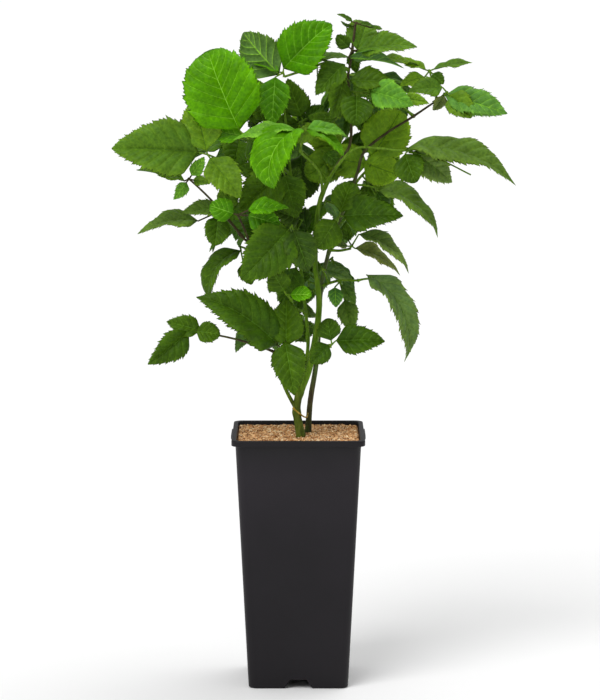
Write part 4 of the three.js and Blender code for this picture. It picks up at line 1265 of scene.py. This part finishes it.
def pot_half(z):
    return POT_FOOT_HALF + (POT_TOP_HALF - POT_FOOT_HALF) * z / POT_HEIGHT


def arc(x, z, radius, start, end):
    angles = np.radians(np.linspace(start, end, ARC_STEPS))
    return [(x + radius * math.cos(a), z + radius * math.sin(a)) for a in angles]


def block(name, near, far, width, segments, is_rounded=lambda edge: True):
    """A closed block between two faces of four corners, with rounded edges."""
    faces = [(0, 1, 2, 3), (7, 6, 5, 4), (0, 4, 5, 1), (1, 5, 6, 2), (2, 6, 7, 3), (3, 7, 4, 0)]
    mesh = bpy.data.meshes.new(name)
    mesh.from_pydata((np.array(near + far) * MM).tolist(), [], faces)
    bm = bmesh.new()
    bm.from_mesh(mesh)
    edges = [edge for edge in bm.edges if is_rounded(edge)]
    bmesh.ops.bevel(bm, geom=edges, offset=width * MM, segments=segments, affect="EDGES")
    bmesh.ops.recalc_face_normals(bm, faces=bm.faces)
    bm.to_mesh(mesh)
    bm.free()
    return put_in_scene(name, mesh)


def notch_block():
    """The cut in the foot of a side, narrower at its top, where its long edges are rounded."""
    foot, top = NOTCH_FOOT_WIDTH / 2, NOTCH_TOP_WIDTH / 2
    outline = [(-foot, -CUT_SPARE), (foot, -CUT_SPARE), (top, NOTCH_HEIGHT), (-top, NOTCH_HEIGHT)]
    near, far = ([(x, y, z) for x, z in outline]
                 for y in (-POT_FOOT_HALF - CUT_OUTSIDE, -POT_FOOT_HALF - CUT_SPARE + NOTCH_DEPTH))

    def is_rounded(edge):
        a, b = (vert.co for vert in edge.verts)
        return abs(a.y - b.y) > MM and a.z > 0 and b.z > 0
    return block("cut", near, far, CUT_ROUND, 2, is_rounded)


def ear_block():
    """The low ear on the middle of a side of the lip."""
    inner, outer = LIP_HALF - EAR_ROOT, LIP_HALF + TAB_REACH
    half = TAB_LENGTH / 2
    flat = [(inner, -half), (outer, -half + EAR_SLANT), (outer, half - EAR_SLANT), (inner, half)]
    low, high = ([(x, y, z) for x, y in flat]
                 for z in (POT_HEIGHT - LIP_DEPTH + EAR_RAISED, POT_HEIGHT - TAB_BELOW_RIM))
    return block("ear", low, high, EAR_ROUND, 3)


def cut_with(piece, tool, operation, turn):
    """Cuts a block from a piece, or joins it on, at a turn about Z."""
    tool.rotation_euler = (0, 0, turn)
    modifier = piece.modifiers.new("cut", "BOOLEAN")
    modifier.operation = operation
    modifier.solver = "EXACT"
    modifier.object = tool
    bpy.context.view_layer.update()
    evaluated = piece.evaluated_get(bpy.context.evaluated_depsgraph_get())
    mesh = bpy.data.meshes.new_from_object(evaluated)
    piece.modifiers.clear()
    old = piece.data
    piece.data = mesh
    bpy.data.meshes.remove(old)
    bpy.data.objects.remove(tool)


def pot_outline():
    """Half width and height of each ring, up the outside, over the lip and down the inside."""
    lip_foot = POT_HEIGHT - LIP_DEPTH
    foot, lip, inner = POT_FOOT_HALF - POT_FOOT_BEVEL, LIP_HALF - LIP_ROUND, LIP_INNER_HALF + LIP_ROUND
    outline = [(foot, 0), *arc(foot, POT_FOOT_BEVEL, POT_FOOT_BEVEL, -70, 0)]
    outline += [(pot_half(z), z) for z in np.linspace(WALL_START, lip_foot - 1, WALL_RINGS)]
    outline += [(pot_half(lip_foot) + LIP_STEP, lip_foot)]
    outline += arc(lip, lip_foot + LIP_ROUND, LIP_ROUND, -80, 0)
    outline += arc(lip, POT_HEIGHT - LIP_ROUND, LIP_ROUND, 0, 90)
    outline += arc(inner, POT_HEIGHT - LIP_ROUND, LIP_ROUND, 90, 180)
    return outline + [(pot_half(z) - POT_WALL, z) for z in (lip_foot, INNER_RING, POT_FLOOR)]


def make_pot():
    outline = pot_outline()
    rings = np.array([rounded_square(half, POT_CORNER, z) for half, z in outline])
    ends = np.array([[0, 0, outline[0][1]], [0, 0, outline[-1][1]]], float)
    gather = Gather()
    gather.add(np.vstack([rings.reshape(-1, 3), ends]), ring_faces(len(outline), rings.shape[1]), 0)
    piece = gather.build("nursery_pot", [plastic_material()])
    for quarter in range(4):
        cut_with(piece, notch_block(), "DIFFERENCE", quarter * math.pi / 2)
    for turn in (0, math.pi):
        cut_with(piece, ear_block(), "UNION", turn)
    mesh = piece.data
    mesh.polygons.foreach_set("use_smooth", np.ones(len(mesh.polygons), bool))
    mesh.set_sharp_from_angle(angle=math.radians(SHARP_ANGLE))
    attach(piece, "root")
    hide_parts("pot")


# Compost and mulch
CHIPS = 4800
CHIP_LENGTH = (1.4, 3.9)
CHIP_WIDTH = (0.3, 0.65)
CHIP_THICK = (0.35, 0.9)
CHIP_LEAN = (-0.5, 0.5)
CHIP_RAISED = (0.1, 1.1)
CHIP_CORNERS = [(-0.5, -0.2), (-0.3, 0.5), (0.35, 0.45), (0.5, 0.1), (0.3, -0.5), (-0.35, -0.4)]
CHIP_UNEVEN = (0.1, 0.12)
CHIP_COLOURS = [(244, 198, 142), (220, 168, 112), (184, 132, 80), (255, 226, 182), (132, 86, 50)]
CHIP_SHARES = (4, 4, 2.5, 2.5, 1)
CHIP_MARGIN = 1.5
MOUND_X = 5
MOUND_Y = -8
MOUND_HEIGHT = 1.6
MOUND_SPREAD = 400
GROUND_UNEVEN = 0.9
GROUND_WAVES = 0.07
GROUND_STEPS = 48
GROUND_SLOT = 2
GROUND_NOISE_Z = 3.1
MULCH_SEED = 5


def ground_height(x, y):
    """The top of the mulch, a little higher round the canes and uneven elsewhere."""
    mound = MOUND_HEIGHT * math.exp(-((x - MOUND_X) ** 2 + (y - MOUND_Y) ** 2) / MOUND_SPREAD)
    uneven = noise.noise((x * GROUND_WAVES, y * GROUND_WAVES, GROUND_NOISE_Z))
    return MULCH_TOP - MOUND_HEIGHT + mound + GROUND_UNEVEN * uneven


def make_mulch():
    materials = [chip_material("bark_chip_%d" % k, colour) for k, colour in enumerate(CHIP_COLOURS)]
    gather = Gather()
    half = LIP_INNER_HALF - 1
    grid = np.linspace(-half, half, GROUND_STEPS + 1)
    x, y = np.meshgrid(grid, grid, indexing="ij")
    z = np.array([[ground_height(a, b) for b in grid] for a in grid])
    index = np.arange(x.size).reshape(x.shape)
    gather.add(np.stack([x, y, z], 2).reshape(-1, 3), grid_quads(index), GROUND_SLOT)
    chance = random.Random(MULCH_SEED)
    for _ in range(CHIPS):
        add_chip(gather, chance, half - CHIP_MARGIN)
    piece = gather.build("mulch_chips", materials, smooth=False)
    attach(piece, "root")
    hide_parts("mulch")


def add_chip(gather, chance, reach):
    """One flake: an uneven six-sided slab that lies at a small slant."""
    x, y = chance.uniform(-reach, reach), chance.uniform(-reach, reach)
    length = chance.uniform(*CHIP_LENGTH)
    width = length * chance.uniform(*CHIP_WIDTH)
    thick = chance.uniform(*CHIP_THICK)
    turn = chance.uniform(0, math.tau)
    along = vec(math.cos(turn), math.sin(turn), chance.uniform(*CHIP_LEAN))
    across = vec(-math.sin(turn), math.cos(turn), chance.uniform(*CHIP_LEAN))
    corners = [[place + chance.uniform(-uneven, uneven) for place, uneven in zip(corner, CHIP_UNEVEN)]
               for corner in CHIP_CORNERS]
    centre = vec(x, y, ground_height(x, y) + chance.uniform(*CHIP_RAISED))
    flat = np.array([centre + along * (a * length) + across * (b * width) for a, b in corners])
    points = np.vstack([flat - UP * thick / 2, flat + UP * thick / 2])
    sides = [(k, (k + 1) % 6, 6 + (k + 1) % 6, 6 + k) for k in range(6)]
    caps = [(3, 2, 1, 0), (5, 4, 3, 0), (6, 7, 8, 9), (6, 9, 10, 11)]
    slot = chance.choices(range(len(CHIP_COLOURS)), CHIP_SHARES)[0]
    gather.add(points, np.array(sides + caps), slot)


# Floor, light and camera
FLOOR_REACH = 90.0
FLOOR_COLOUR = (0.92, 0.92, 0.92, 1)
FLOOR_ROUGH = 0.9
SKY_STRENGTH = 0.5

# Lamps: name, where the light comes from, the angle that it spreads over in degrees, and strength
SUNS = [("key", (-0.5, -0.75, 1.0), 35, 1.7), ("top", (0.3, 0.3, 1.0), 40, 0.9)]


def make_floor():
    mesh = bpy.data.meshes.new("floor")
    corners = [(x * FLOOR_REACH, y * FLOOR_REACH, 0) for x, y in ((-1, -1), (1, -1), (1, 1), (-1, 1))]
    mesh.from_pydata(corners, [], [(0, 1, 2, 3)])
    floor = put_in_scene("floor", mesh)
    material, tree, shader = node_material("pale_floor")
    put(tree, shader, Base_Color=FLOOR_COLOUR, Roughness=FLOOR_ROUGH)
    mesh.materials.append(material)


def add_sun(name, source, spread, strength):
    light = bpy.data.lights.new(name, "SUN")
    light.angle = math.radians(spread)
    light.energy = strength
    x, y, z = source
    turn = (math.atan2(math.hypot(x, y), z), 0, math.atan2(-y, -x) - math.pi / 2)
    put_in_scene(name, light).rotation_euler = turn


def make_light():
    world = bpy.data.worlds.new("studio")
    world.use_nodes = True
    background = world.node_tree.nodes["Background"]
    put(world.node_tree, background, Color=(1, 1, 1, 1), Strength=SKY_STRENGTH)
    bpy.context.scene.world = world
    bpy.context.scene.view_settings.view_transform = "Standard"
    for sun in SUNS:
        add_sun(*sun)


def make_camera():
    camera = bpy.data.cameras.new("camera")
    camera.sensor_fit = "VERTICAL"
    camera.sensor_height = SENSOR
    camera.lens = LENS
    eye = put_in_scene("camera", camera)
    eye.location = EYE * MM
    eye.rotation_euler = (math.radians(90 - PITCH), 0, 0)
    bpy.context.scene.camera = eye


def main():
    grow_skeleton()
    barks = {name: bark_material(name) for name in BARKS}
    make_leaves()
    make_twigs(barks)
    for limb in LIMBS:
        make_limb(limb, barks["dark_bark" if limb["name"] in DARK_LIMBS else "green_bark"])
    make_pot()
    make_mulch()
    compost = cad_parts["compost"]
    compost.data.materials.clear()
    compost.data.materials.append(chip_material("compost", COMPOST))
    make_floor()
    make_light()
    make_camera()


main()
